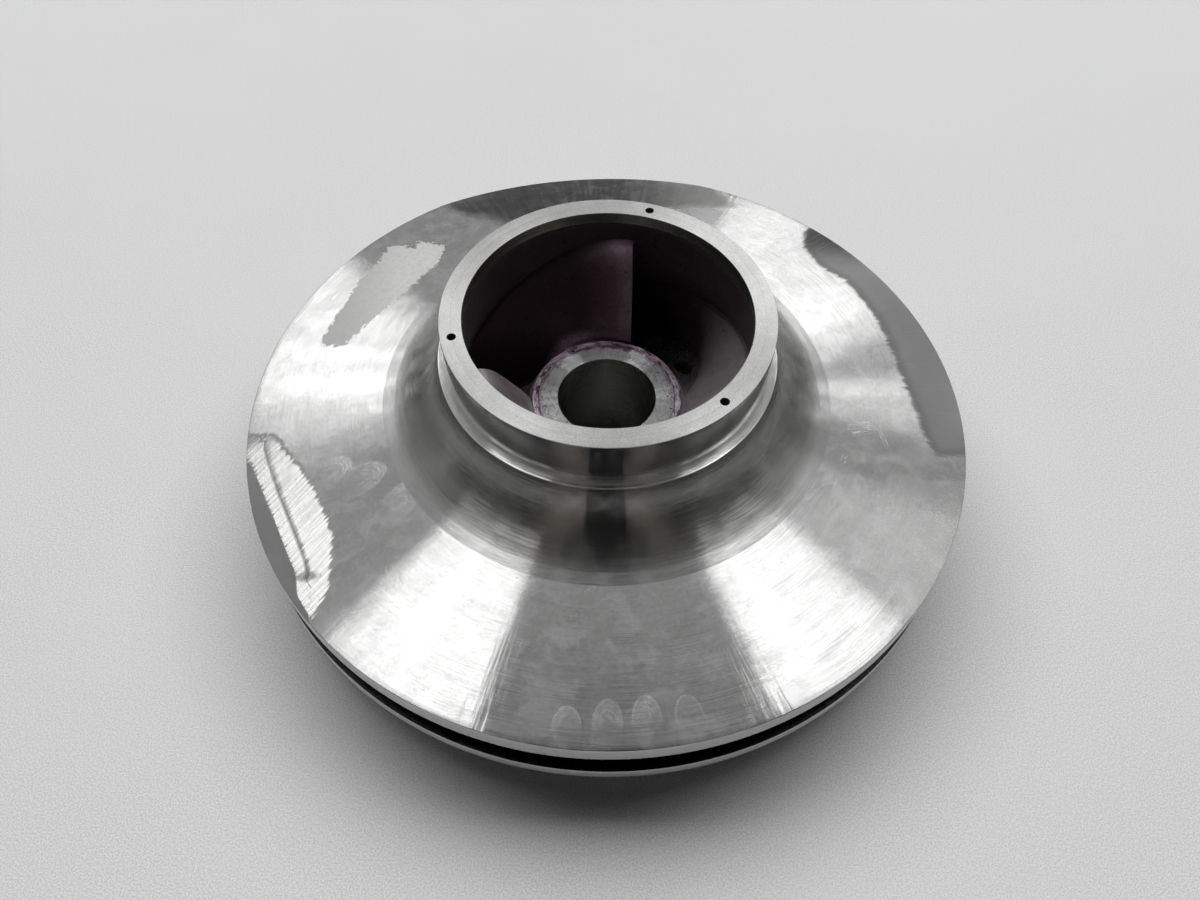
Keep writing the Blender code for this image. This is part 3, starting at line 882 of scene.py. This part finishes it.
def paint_places(mesh):
    """Paints the distance to every outline, the prints, and how far the left place must lean."""
    x, y, _ = read_points(mesh).T
    outlines = {"far_flat": FAR_FLAT, "right_crescent": RIGHT_CRESCENT, "left_edge": LEFT_EDGE,
                "left_lens": LEFT_LENS, "crease_end": CREASE_END, "dull_patch": DULL_PATCH,
                "smear": SMEAR, "wipe": WIPE, "smudge": SMUDGE}
    for name, outline in outlines.items():
        paint(mesh, name, depth_inside(outline, x, y))
    paint(mesh, "crease", beside_line(CREASE, x, y))
    for name, values in finger_shape(x, y).items():
        paint(mesh, name, values)
    behind = math.radians(LEFT_FACES) - np.arctan2(y, x) % (2 * math.pi)
    paint(mesh, "left_turn", LEFT_LEAN * np.clip(behind, -1.0, 1.2))


grind(front_shroud.data)

# %% [markdown]
# ## The back shroud, hub and nose
#
# The back shroud is a flat disc that grows into the hub. Only the hub's machined nose shows
# through the eye, and the edge of the disc shows under the outlet slot. The rear is hidden in the
# picture; it repeats the front's neck and ring, which is how such an impeller is balanced against
# thrust. The same spinning helper makes it.

# %% Back shroud outline
BORE_R, NOSE_R, NOSE_Z, NOSE_DEPTH = 24.0, 36.75, 61.5, 3.5
NOSE_FLAT_R, NOSE_STEP_R, NOSE_STEP = 33.4, 33.8, 0.35
HUB_FILLET, REAR_BOSS_R, REAR_BOSS_Z = 30.0, 37.0, 2.0
REAR_SEAT_Z, REAR_LEDGE_Z, REAR_HOLLOW_Z, REAR_FILLET, HOLLOW_FILLET = 18.0, 21.0, 21.0, 3.0, 6.0
HUB_CENTRE = (NOSE_R + 1.5 + HUB_FILLET, BACK_INNER_Z + 1.0 + HUB_FILLET)
BORE_CHAMFER = 1.2


def back_shroud_outline():
    neck_r = JOINT_R - JOINT_GAP
    corners = [
        (BORE_R + 0.3, NOSE_Z, 0.1, "nose"),
        (NOSE_FLAT_R, NOSE_Z, 0.1, "nose"),
        (NOSE_STEP_R, NOSE_Z - NOSE_STEP, 0.1, "nose_dyed"),
        (NOSE_R - 0.15, NOSE_Z - NOSE_STEP, 0.0, "cast_shaded"),
        (NOSE_R, NOSE_Z - 0.5, 0.0, "cast_shaded"),
        (NOSE_R, NOSE_Z - NOSE_DEPTH, 0.0, "cast_dyed"),
    ]
    hub = arc(HUB_CENTRE, HUB_FILLET, 190.0, 270.0, 28)
    corners += [(r, z, 0.0, "cast_dyed") for r, z in hub]
    corners += [
        (RIM_R, BACK_INNER_Z, 0.5, "rim_edge"),
        (RIM_R, BACK_FACE_Z, 0.5, "turned"),
    ]
    rear = arc((LEDGE_R + REAR_FILLET, BACK_FACE_Z - REAR_FILLET), REAR_FILLET, 90.0, 180.0, 6)
    corners += [(r, z, 0.0, "turned") for r, z in rear]
    corners += [
        (LEDGE_R, REAR_LEDGE_Z, 0.3, "turned"),
        (COLLAR_R, REAR_LEDGE_Z, 0.0, "turned"),
        (COLLAR_R, REAR_SEAT_Z, 0.3, "turned"),
        (neck_r, REAR_SEAT_Z, 0.0, "turned"),
        (neck_r, 0.0, 0.04, "faced"),
        (EYE_R, 0.0, 0.35, "cast_shaded"),
    ]
    level = REAR_HOLLOW_Z - HOLLOW_FILLET
    hollow = arc((EYE_R - HOLLOW_FILLET, level), HOLLOW_FILLET, 0.0, 90.0, 6)
    hollow += arc((REAR_BOSS_R + HOLLOW_FILLET, level), HOLLOW_FILLET, 90.0, 180.0, 6)
    corners += [(r, z, 0.0, "cast_shaded") for r, z in hollow]
    corners += [
        (REAR_BOSS_R, REAR_BOSS_Z, 0.4, "faced"),
        (BORE_R + BORE_CHAMFER, REAR_BOSS_Z, 0.1, "bored"),
        (BORE_R, REAR_BOSS_Z + BORE_CHAMFER, 0.1, "bored"),
        (BORE_R, NOSE_Z - 0.3, 0.1, "turned_bright"),
    ]
    return split_long(broken_corners(corners), 4.0)

# %% The nose's two finishes
DYE_FROM, DYE_FULL = 0.0305, 0.0335


def dyed_nose():
    """The nose's low outer step, where the purple dye and a few pits stayed."""
    tree, shader = turned_steel("nose_dyed", (0.85, 0.84, 0.85), 0.16, scatter=0.8, flanks=8.0, feed=0.03,
                                metal=0.85)
    patches = ring_marks(tree, 3.0, 250.0, 3.0, 0.6)
    deep = ring_marks(tree, 5.0, 500.0, 3.0, 0.6)
    pits = speckle(tree, place(tree), 700.0, 1.0, 0.4)
    colour = toned(tree, so_far(shader, "Base Color"), (0.70, 0.50, 0.64), patches, 0.38, 0.52)
    colour = toned(tree, colour, (0.10, 0.03, 0.075), deep, 0.52, 0.60, 0.9)
    colour = toned(tree, colour, (0.01, 0.005, 0.01), pits, 0.66, 0.70)
    connect(tree, shader, {"Base Color": colour})


def clean_nose():
    """The nose's flat face; dye has crept in from its rim, and a painted reflection of the first vane
    darkens it on the far side.
    """
    tree, shader = turned_steel("nose", (0.97, 0.97, 0.965), 0.08, scatter=1.3, flanks=60.0, feed=0.05,
                                haze=0.01, stain=0.3, grain=0.2)
    _, y, _, _, r = axis_place(tree)
    creep = ring_marks(tree, 3.5, 150.0, 4.0, 0.65)
    reach = ramp(tree, plus(tree, r, swing(tree, creep, 0.012)), DYE_FROM, DYE_FULL)
    # Painted reflection: the first vane, mirrored in the far side of the face, as a dark purple.
    deep = times(tree, reach, ramp(tree, y, 0.018, 0.030))
    pits = ramp(tree, speckle(tree, place(tree), 650.0, 1.0, 0.4), 0.68, 0.71)
    colour = so_far(shader, "Base Color")
    for share, amount, tint in ((reach, 0.55, (0.66, 0.47, 0.60)), (deep, 0.75, (0.13, 0.05, 0.10)),
                                (pits, 0.8, (0.02, 0.01, 0.02))):
        colour = blended(tree, times(tree, share, amount), colour, tint)
    connect(tree, shader, {"Base Color": colour})


clean_nose()
dyed_nose()
BACK_FINISHES = ["nose", "nose_dyed", "cast_dyed", "rim_edge", "turned", "faced", "cast_shaded", "bored",
                 "turned_bright"]
back_shroud = spun("back_shroud_and_hub", back_shroud_outline(), BACK_FINISHES)

# %% [markdown]
# ## The vanes
#
# Each vane is a twisted wall between the hub and the front shroud. Its leading edge stands in the
# eye and bulges a little towards the axis; its tail reaches the rim, two thirds of a turn further
# on. It is a loft: rows of points from the hub to the shroud, and stations that keep a constant
# angle to the tangent. On the hub's side the root first follows the nose and then swings out, so
# that side has a pace of its own. A casting has no sharp inner corner, so the wall grows thicker
# close to both shrouds, which makes the fillets. A separate fillet surface would have to be
# trimmed to both of its neighbours.

# %% Vane shape
VANE_COUNT = 3
VANE_FINISHES = ("cast_vane", "cast_grey", "cast_grey")
EYE_EDGE_ANGLE, HUB_EDGE_ANGLE, TAIL_ANGLE = 82.3, 75.0, 328.8
EYE_EDGE, HUB_EDGE, TAIL_R = (64.9, 105.2), (38.7, 57.2), 173.0
# How far the edge bulges, over which share of the length, and how much of it goes in and up.
EDGE_BULGE, BULGE_SHARE, BULGE_IN, BULGE_UP = 7.0, 0.2, 0.878, 0.479
HUB_WAIT, SWING_FROM, SWING_OVER, SWING_SHARE = 0.12, 0.135, 0.219, 0.36
VANE_THICKNESS, NOSE_THICKNESS, VANE_FILLET = 6.0, 2.6, 2.0
# The shares of the length over which the wall, its round nose and its fillets grow.
WALL_GROWS, NOSE_GROWS, FILLET_GROWS = 0.12, 0.006, 0.03
STATIONS, ROWS = 150, 26
CROWDING, ROW_REACH = 1.15, 0.53
VANE_SHARP, MERGE = 50.0, 0.00001


def hub_pace(share):
    """How far the hub side has come: it follows the nose first, then swings out and settles."""
    late = np.clip(share - HUB_WAIT, 0.0, 1.0) / (1.0 - HUB_WAIT)
    swung = np.clip((share - SWING_FROM) / SWING_OVER, 0.0, 1.0)
    return (1.0 - SWING_SHARE) * late + SWING_SHARE * swung * swung * (3.0 - 2.0 * swung)


def stations_on(path, paces):
    """Points along a path at these shares of the integral of dm / r, with that integral's whole."""
    stretches = [np.linspace(a, b, 40, endpoint=False) for a, b in zip(path, path[1:])]
    fine = np.concatenate(stretches + [[path[-1]]])
    step = np.hypot(*np.diff(fine, axis=0).T) / ((fine[1:, 0] + fine[:-1, 0]) / 2)
    total = np.concatenate([[0.0], np.cumsum(step)])
    found = np.stack([np.interp(total[-1] * paces, total, fine[:, k]) for k in (0, 1)], 1)
    return found, total[-1]


def vane_paths():
    eye_curve = arc(INNER_CENTRE, INNER_FILLET, 180.0, 270.0 - INNER_SLOPE, 24)
    tail_z = FRONT_INNER_Z + (RIM_R - TAIL_R) * math.tan(math.radians(INNER_SLOPE))
    start = math.degrees(math.atan2(HUB_EDGE[1] - HUB_CENTRE[1], HUB_EDGE[0] - HUB_CENTRE[0])) % 360.0
    hub_curve = arc(HUB_CENTRE, HUB_FILLET, start, 270.0, 24)
    return [EYE_EDGE, *eye_curve, (TAIL_R, tail_z)], [*hub_curve, (TAIL_R, BACK_INNER_Z)]


def flare(distance):
    """How much a fillet adds to the wall at this distance from the shroud, mm."""
    inside = np.clip(VANE_FILLET - distance, 0.0, VANE_FILLET)
    return VANE_FILLET - np.sqrt(VANE_FILLET ** 2 - inside ** 2)


def vane_half(share, height, passage):
    """Half the wall's thickness at a station and a height, mm, round at the leading edge."""
    grown = np.minimum(1.0, share / WALL_GROWS)
    wall = NOSE_THICKNESS + (VANE_THICKNESS - NOSE_THICKNESS) * np.sin(grown * math.pi / 2)
    nose = np.sqrt(np.clip(1.0 - (1.0 - np.minimum(1.0, share / NOSE_GROWS)) ** 2, 0.0, 1.0))
    close = np.minimum(height, 1.0 - height) * passage
    return nose * (wall / 2 + flare(close) * np.minimum(1.0, share / FILLET_GROWS))

# %% Vanes


def vane_grid(side, turn):
    """One face of a vane as a grid of points in mm."""
    eye_path, hub_path = vane_paths()
    shares = np.linspace(0.0, 1.0, STATIONS + 1) ** CROWDING
    eye_points, eye_total = stations_on(eye_path, shares)
    hub_points, hub_total = stations_on(hub_path, hub_pace(shares))
    height = 0.5 - ROW_REACH * np.cos(np.linspace(0.0, math.pi, ROWS + 1))
    share = shares[:, None]
    point = hub_points[:, None, :] + (eye_points - hub_points)[:, None, :] * height[None, :, None]
    bulge = EDGE_BULGE * (1.0 - np.abs(2.0 * np.clip(height, 0.0, 1.0) - 1.0) ** 5)[None, :]
    bulge = bulge * (1.0 - np.minimum(1.0, share / BULGE_SHARE)) ** 2
    r, z = point[..., 0] - BULGE_IN * bulge, point[..., 1] + BULGE_UP * bulge
    passage = np.hypot(*(eye_points - hub_points).T)[:, None]
    edge = HUB_EDGE_ANGLE + (EYE_EDGE_ANGLE - HUB_EDGE_ANGLE) * height[None, :]
    wrap = np.radians(TAIL_ANGLE - edge)
    slope = np.arctan((hub_total + (eye_total - hub_total) * height[None, :]) / wrap)
    half = vane_half(share, np.clip(height[None, :], 0.0, 1.0), passage) / (r * np.sin(slope))
    angle = np.radians(edge + turn) + wrap * share + side * half
    return np.stack([r * np.cos(angle), r * np.sin(angle), z], -1)


def vane(number):
    turn = 360.0 / VANE_COUNT * (number - 1)
    front, back = vane_grid(-1, turn), vane_grid(1, turn)
    rows, count = ROWS + 1, STATIONS + 1
    points = np.concatenate([front.reshape(-1, 3), back.reshape(-1, 3)]) * MM

    def at(side, i, j):
        return side * rows * count + i * rows + j

    faces = []
    for i in range(STATIONS):
        for j in range(ROWS):
            faces.append((at(0, i, j), at(0, i, j + 1), at(0, i + 1, j + 1), at(0, i + 1, j)))
            faces.append((at(1, i, j), at(1, i + 1, j), at(1, i + 1, j + 1), at(1, i, j + 1)))
        for j in (0, ROWS):
            faces.append((at(0, i, j), at(0, i + 1, j), at(1, i + 1, j), at(1, i, j)))
    for j in range(ROWS):
        low, high = at(0, STATIONS, j), at(0, STATIONS, j + 1)
        faces.append((low, at(1, STATIONS, j), at(1, STATIONS, j + 1), high))
    mesh = bpy.data.meshes.new(f"vane_{number}")
    mesh.from_pydata(points.tolist(), [], faces)
    bm = bmesh.new()
    bm.from_mesh(mesh)
    bmesh.ops.remove_doubles(bm, verts=bm.verts[:], dist=MERGE)
    bmesh.ops.recalc_face_normals(bm, faces=bm.faces[:])
    bm.to_mesh(mesh)
    bm.free()
    smoothed(mesh, VANE_SHARP)
    mesh.materials.append(FINISHES[VANE_FINISHES[number - 1]])
    x, y, _ = read_points(mesh).T
    # Just behind the edge counts as a little below 0, not as nearly a whole turn.
    behind = (np.degrees(np.arctan2(y, x)) - turn - HUB_EDGE_ANGLE + 20.0) % 360.0 - 20.0
    paint(mesh, "inward", np.clip(behind, 0.0, 255.0))
    return placed(f"vane_{number}", mesh)


vanes = [vane(number) for number in range(1, VANE_COUNT + 1)]
print("vanes:", ", ".join(f"{v.name} {len(v.data.polygons)} faces" for v in vanes))

# %% [markdown]
# ## The wear rings
#
# A plain ring, faced flush with the neck after it was shrunk on, so the joint between the two is
# a hair line. Three small holes are drilled on that line, half in the neck and half in the ring,
# and take set screws that stop the ring from turning. The holes are cut with Boolean modifiers,
# as in a workshop: one drill for each hole, used on both pieces. Each cutter carries the bored
# finish and the modifier transfers it, so the wall of a hole looks bored. Two very small drills
# make the nick in the ring's outer edge and the tick in the neck's inner edge.

# %% Wear rings
RING_FINISHES = ["faced", "ring_side_shaded", "turned"]
RING_CLEAR = 0.3


def wear_ring(name, low, high, face_up):
    inner = JOINT_R + JOINT_GAP
    outside = "ring_side_shaded" if face_up else "turned"
    corners = [
        (inner, high, 0.04, "faced"),
        (RING_R, high, 0.35, outside),
        (RING_R, low, 0.6, "faced"),
        (inner, low, 0.04, "turned"),
    ]
    return spun(name, split_long(broken_corners(corners), 4.0), RING_FINISHES)


eye_ring = wear_ring("eye_ring", COLLAR_Z + RING_CLEAR, EYE_FACE_Z, True)
rear_ring = wear_ring("rear_ring", 0.0, REAR_SEAT_Z - RING_CLEAR, False)

# %% Drills and the keyway's cutter
LOCK_ANGLE, LOCK_HOLE_R, LOCK_DEPTH = 74.2, 2.1, 12.0
BALANCE_ANGLE, BALANCE_R, BALANCE_HOLE_R = 46.0, 60.0, 5.5
BALANCE_LOW, BALANCE_HIGH = 10.0, 44.0
KEYWAY_WIDTH, KEYWAY_DEPTH, KEYWAY_INSIDE = 14.0, 3.8, 8.0
KEYWAY_MIDDLE, KEYWAY_LENGTH = 32.0, 80.0
NICK_R, NICK_ANGLE, NICK_DEPTH = 0.75, 142.9, 1.3
TICK_R, TICK_ANGLE, TICK_DEPTH = 0.45, 343.5, 0.9
DRILL_PAST = 2.0


def on_circle(radius, degrees):
    return (radius * math.cos(math.radians(degrees)), radius * math.sin(math.radians(degrees)))


def shaped(name, bm, finish):
    """Turns a bmesh into an object with one finish."""
    mesh = bpy.data.meshes.new(name)
    bm.to_mesh(mesh)
    bm.free()
    mesh.materials.append(FINISHES[finish])
    return placed(name, mesh)


def drill(name, radius, low, high, centre, sides=32):
    """An upright round cutter between two heights, in mm."""
    bm = bmesh.new()
    bmesh.ops.create_cone(bm, cap_ends=True, segments=sides, radius1=radius * MM, radius2=radius * MM,
                          depth=(high - low) * MM)
    bmesh.ops.translate(bm, verts=bm.verts[:], vec=Vector((*centre, (low + high) / 2)) * MM)
    return shaped(name, bm, "bored")


def keyway_cutter():
    near, far = BORE_R - KEYWAY_INSIDE, BORE_R + KEYWAY_DEPTH
    bm = bmesh.new()
    bmesh.ops.create_cube(bm, size=1.0)
    bmesh.ops.scale(bm, verts=bm.verts[:], vec=Vector((KEYWAY_WIDTH, far - near, KEYWAY_LENGTH)) * MM)
    bmesh.ops.translate(bm, verts=bm.verts[:], vec=Vector((0.0, -(near + far) / 2, KEYWAY_MIDDLE)) * MM)
    return shaped("key_cutter", bm, "bored")


def cut(target, cutters):
    """Takes the cutters out of the target for good."""
    for cutter in cutters:
        bore = target.modifiers.new(cutter.name, "BOOLEAN")
        bore.operation, bore.material_mode = "DIFFERENCE", "TRANSFER"
        bore.object = cutter
    graph = bpy.context.evaluated_depsgraph_get()
    mesh = bpy.data.meshes.new_from_object(target.evaluated_get(graph))
    target.modifiers.clear()
    target.data = mesh
    smoothed(mesh)
    print(f"{target.name}: {len(mesh.polygons)} faces after {len(cutters)} cuts")

# %% Cut the holes, the nick and the tick
LOCK_PLACES = [on_circle(JOINT_R, LOCK_ANGLE + 120.0 * i) for i in range(3)]
BALANCE_PLACES = [on_circle(BALANCE_R, BALANCE_ANGLE + 120.0 * i) for i in range(3)]

front_drills = [drill(f"front_drill_{i}", LOCK_HOLE_R, EYE_FACE_Z - LOCK_DEPTH,
                      EYE_FACE_Z + DRILL_PAST, centre)
                for i, centre in enumerate(LOCK_PLACES)]
rear_drills = [drill(f"rear_drill_{i}", LOCK_HOLE_R, -DRILL_PAST, LOCK_DEPTH, centre)
               for i, centre in enumerate(LOCK_PLACES)]
balance_drills = [drill(f"balance_drill_{i}", BALANCE_HOLE_R, BALANCE_LOW, BALANCE_HIGH, centre, 48)
                  for i, centre in enumerate(BALANCE_PLACES)]
key_cutter = keyway_cutter()
nick, tick = [
    drill(name, radius, EYE_FACE_Z - depth, EYE_FACE_Z + 1.0, on_circle(out, degrees), 12)
    for name, radius, depth, out, degrees in (("nick", NICK_R, NICK_DEPTH, RING_R + 0.35, NICK_ANGLE),
                                              ("tick", TICK_R, TICK_DEPTH, EYE_R, TICK_ANGLE))
]

cut(front_shroud, [*front_drills, tick])
paint_places(front_shroud.data)
cut(eye_ring, [*front_drills, nick])
cut(back_shroud, [*balance_drills, *rear_drills, key_cutter])
cut(rear_ring, rear_drills)
for helper in [*front_drills, *rear_drills, *balance_drills, key_cutter, nick, tick]:
    bpy.data.objects.remove(helper, do_unlink=True)

# %% [markdown]
# ## The set screws
#
# Each lock screw is a grub screw with a hexagon socket, sunk below the face, so only a dark hole
# shows. It is still modelled: a chamfered body with a socket, coarse threads left out, because
# nothing of the thread can be seen past the socket's edge.

# %% Set screws
SCREW_R, SCREW_LENGTH, SCREW_CHAMFER, SOCKET_R, SOCKET_DEPTH = 1.8, 7.0, 0.35, 0.95, 2.4
SCREW_SIDES, SCREW_SHARP, SCREW_CLEAR = 24, 30.0, 0.3


def black_steel():
    tree, shader = new_finish("black_steel")
    wear = speckle(tree, place(tree), 1500.0, 3.0)
    colour = toned(tree, (0.02, 0.02, 0.022), (0.09, 0.09, 0.095), wear, 0.5, 0.75)
    connect(tree, shader, {"Base Color": colour, "Roughness": ramp(tree, wear, 0.3, 0.7, 0.4, 0.6),
                           "Metallic": 0.8})


def screw_ring(bm, radius, centre, z):
    """One ring of a screw's points; the socket's ring is a hexagon."""
    ring = []
    for k in range(SCREW_SIDES):
        angle = 2 * math.pi * k / SCREW_SIDES
        reach = radius
        if radius == SOCKET_R:
            reach = radius * math.cos(math.pi / 6) / math.cos((angle % (math.pi / 3)) - math.pi / 6)
        point = Vector((centre[0] + reach * math.cos(angle), centre[1] + reach * math.sin(angle), z))
        ring.append(bm.verts.new(point * MM))
    return ring


def set_screw(name, low, high, centre, socket_up):
    """A grub screw between two heights; its socket opens up or down."""
    bm = bmesh.new()
    end_r = SCREW_R - SCREW_CHAMFER
    outline = [(end_r, 0.0), (SCREW_R, SCREW_CHAMFER), (SCREW_R, SCREW_LENGTH - SCREW_CHAMFER),
               (end_r, SCREW_LENGTH), (SOCKET_R, SCREW_LENGTH), (SOCKET_R, SCREW_LENGTH - SOCKET_DEPTH)]
    rings = [screw_ring(bm, radius, centre, low + height if socket_up else high - height)
             for radius, height in outline]
    for lower, upper in zip(rings, rings[1:]):
        for k in range(SCREW_SIDES):
            following = (k + 1) % SCREW_SIDES
            bm.faces.new((lower[k], lower[following], upper[following], upper[k]))
    bm.faces.new(rings[0][::-1])
    bm.faces.new(rings[-1])
    bmesh.ops.recalc_face_normals(bm, faces=bm.faces[:])
    made = shaped(name, bm, "black_steel")
    smoothed(made.data, SCREW_SHARP)
    return made


black_steel()
bottom, top = EYE_FACE_Z - LOCK_DEPTH + SCREW_CLEAR, LOCK_DEPTH - SCREW_CLEAR
screws = []
for i, centre in enumerate(LOCK_PLACES, start=1):
    for side, low, up in (("eye", bottom, True), ("rear", top - SCREW_LENGTH, False)):
        screw = set_screw(f"{side}_screw_{i}", low, low + SCREW_LENGTH, centre, up)
        screws.append((screw, f"{side}_lock_screw_{i}"))
print("screws:", len(screws))

# %% [markdown]
# ## Hanging the pieces on the imported model
#
# Every visible piece rides on the one body of the model, and the imported solid that it stands for is
# hidden.

# %% Riding and replacing
stand_ins = [(piece, "impeller_casting", "cast_stainless")
             for piece in (front_shroud, back_shroud, *vanes)]
stand_ins += [(eye_ring, "eye_wear_ring", "ring_stainless"),
              (rear_ring, "rear_wear_ring", "ring_stainless")]
stand_ins += [(piece, node, "black_screw") for piece, node in screws]
for piece, node, slot in stand_ins:
    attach(piece, "root")
    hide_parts(node)

# %% [markdown]
# ## Floor
#
# The impeller lies on a pale sheet. It is one large face with a fine grain and faint clouds. It
# lies a fifth of a millimetre below the rear ring, so that no two faces share one place.

# %% Floor
FLOOR_REACH, FLOOR_PLACE = 2.5, (0.0, 0.6, -0.0002)
PAPER_RELIEF = 0.00006


def pale_floor():
    tree, shader = new_finish("pale_floor")
    grain = speckle(tree, place(tree), 1300.0, 3.0, 0.6)
    cloud = speckle(tree, place(tree), 9.0, 3.0)
    colour = toned(tree, grey(0.53), grey(0.73), grain, 0.35, 0.65)
    colour = toned(tree, colour, (0.66, 0.66, 0.67), cloud, 0.3, 0.7, 0.3)
    connect(tree, shader, {"Base Color": colour, "Normal": bumped(tree, grain, PAPER_RELIEF),
                           "Roughness": 0.6})


pale_floor()
floor_bm = bmesh.new()
bmesh.ops.create_grid(floor_bm, x_segments=1, y_segments=1, size=FLOOR_REACH)
floor = shaped("floor", floor_bm, "pale_floor")
floor.location = FLOOR_PLACE

# %% [markdown]
# ## The room that the metal mirrors
#
# Turned steel shows nothing but what stands round it, so the lamps matter as much as the finish.
# The bright wedges are the reflections of square ceiling panels. Their edges are sharp because a
# turned surface is almost a mirror along its grooves, and long because it scatters across them.
# So the lamps are real rectangles at ceiling height, in the places that give wedges of the right
# width, below a dim ceiling that ends just in front of the object, so the camera's side stays
# dark. Two dim walls lighten the sides of the neck and the ring, two posts make the soft streaks
# on the near side, and a narrow dark screen keeps a black wedge between them; the camera itself
# doesn't see that screen. All of these show in metal only. One high lamp does the opposite: it
# lights everything dull, such as the floor and the cast skin, and metal doesn't see it. The
# world is nearly black for the object and pale for the eye, so a view from the side has a plain
# backdrop.

# %% Lamps
CEILING = 2.4
# Across, away, half width, half length, turn in radians and brightness; lengths in ceiling heights.
PANELS = {
    "left_near_a": (-0.414, 0.134, 0.102, 0.241, -1.049, 1.50),
    "left_near_b": (-0.350, 0.093, 0.131, 0.220, -0.203, 1.75),
    "right_near_a": (0.441, 0.165, 0.155, 0.164, 0.606, 1.95),
    "right_near_b": (0.797, 0.374, 0.265, 0.064, 0.728, 1.15),
    "left_far_a": (-1.120, 1.762, 0.110, 0.995, -2.742, 2.30),
    "left_far_b": (-0.890, 1.059, 0.398, 0.264, -1.121, 0.78),
    "right_far_a": (0.677, 1.706, 0.358, 0.707, -3.694, 1.40),
    "right_far_b": (0.964, 3.321, 0.222, 2.480, -3.382, 0.63),
    "right_side_a": (1.045, 0.966, 0.083, 0.538, -4.595, 0.72),
    "right_side_b": (0.887, 1.047, 0.048, 0.339, -4.194, 1.20),
    "near_left": (-0.747, -0.603, 0.625, 0.542, -0.183, 0.06),
    "near_right": (0.793, -0.543, 0.625, 0.542, 0.262, 0.06),
}
DIM_CEILING, DIM_ABOVE = (0.0, 2.45, 3.0, 2.55, 0.0, 0.32), 0.1
FLOOR_FILL, FILL_HEIGHT = (0.0, 0.69, 1.1, 0.53, 0.0, 3.95), 3.0
# Bearing in degrees, distance, half width and height in metres, brightness and colour.
WALLS = {
    "left_wall": (195.0, 2.5, 2.25, 2.4, 0.08, (1.0, 1.0, 0.98)),
    "right_wall": (344.0, 2.5, 2.25, 2.4, 0.08, (1.0, 1.0, 0.98)),
    "left_post": (248.0, 2.2, 0.40, 2.4, 0.16, (1.0, 0.88, 0.78)),
    "right_post": (293.0, 2.2, 0.30, 2.4, 0.16, (1.0, 0.88, 0.78)),
}


def lamp(name, width, length, brightness, colour=(1.0, 1.0, 1.0)):
    """A rectangle of light of an even brightness that shows only in polished metal."""
    data = bpy.data.lights.new(name, "AREA")
    data.shape, data.size, data.size_y, data.color = "RECTANGLE", width, length, colour
    data.energy = brightness * math.pi * data.size * data.size_y
    made = placed(name, data)
    made.visible_diffuse = False
    return made


def ceiling_panel(name, spans, height=CEILING):
    """A lamp that faces down."""
    across, away, half_width, half_length, turn, brightness = spans
    made = lamp(name, 2 * half_width * height, 2 * half_length * height, brightness)
    made.location = (across * height, away * height, height + FRONT_RIM_Z * MM)
    made.rotation_euler = (0.0, 0.0, turn)
    return made


def wall_panel(name, bearing, distance, half_width, height, brightness, colour):
    """A dim lamp that stands upright and faces the axis."""
    made = lamp(name, 2 * half_width, height, brightness, colour)
    x, y = on_circle(1.0, bearing)
    made.location = (x * distance, y * distance, height / 2)
    made.rotation_euler = Vector((-x, -y, 0.0)).to_track_quat("-Z", "Z").to_euler()


for name, spans in PANELS.items():
    ceiling_panel(name, spans)
for name, spans in WALLS.items():
    wall_panel(name, *spans)
ceiling_panel("dim_ceiling", DIM_CEILING, CEILING + DIM_ABOVE)
floor_fill = ceiling_panel("floor_fill", FLOOR_FILL, FILL_HEIGHT * CEILING)
floor_fill.visible_diffuse, floor_fill.visible_glossy = True, False

# %% Dark screen and backdrop
SCREEN_LEFT, SCREEN_RIGHT, SCREEN_AWAY, SCREEN_TOP = -0.09, 0.10, -0.55, 1.9
WORLD_LIGHT, BACKGROUND = 0.015, 0.55

cloth_tree, cloth_shader = new_finish("black_cloth")
connect(cloth_tree, cloth_shader, {"Base Color": grey(0.01), "Roughness": 0.9})
screen_mesh = bpy.data.meshes.new("dark_screen")
screen_points = [(x, SCREEN_AWAY, z) for x, z in ((SCREEN_LEFT, 0.0), (SCREEN_RIGHT, 0.0),
                                                  (SCREEN_RIGHT, SCREEN_TOP), (SCREEN_LEFT, SCREEN_TOP))]
screen_mesh.from_pydata(screen_points, [], [(0, 1, 2, 3)])
screen_mesh.materials.append(FINISHES["black_cloth"])
dark_screen = placed("dark_screen", screen_mesh)
dark_screen.visible_camera = False

world = bpy.data.worlds.new("world")
world.use_nodes = True
world_tree, backdrop = world.node_tree, world.node_tree.nodes["Background"]
seen = add(world_tree, "ShaderNodeLightPath").outputs["Is Camera Ray"]
connect(world_tree, backdrop, {"Color": (1.0, 1.0, 1.0),
                               "Strength": mixed(world_tree, seen, WORLD_LIGHT, BACKGROUND)})
scene.world = world
scene.view_settings.view_transform = "Standard"
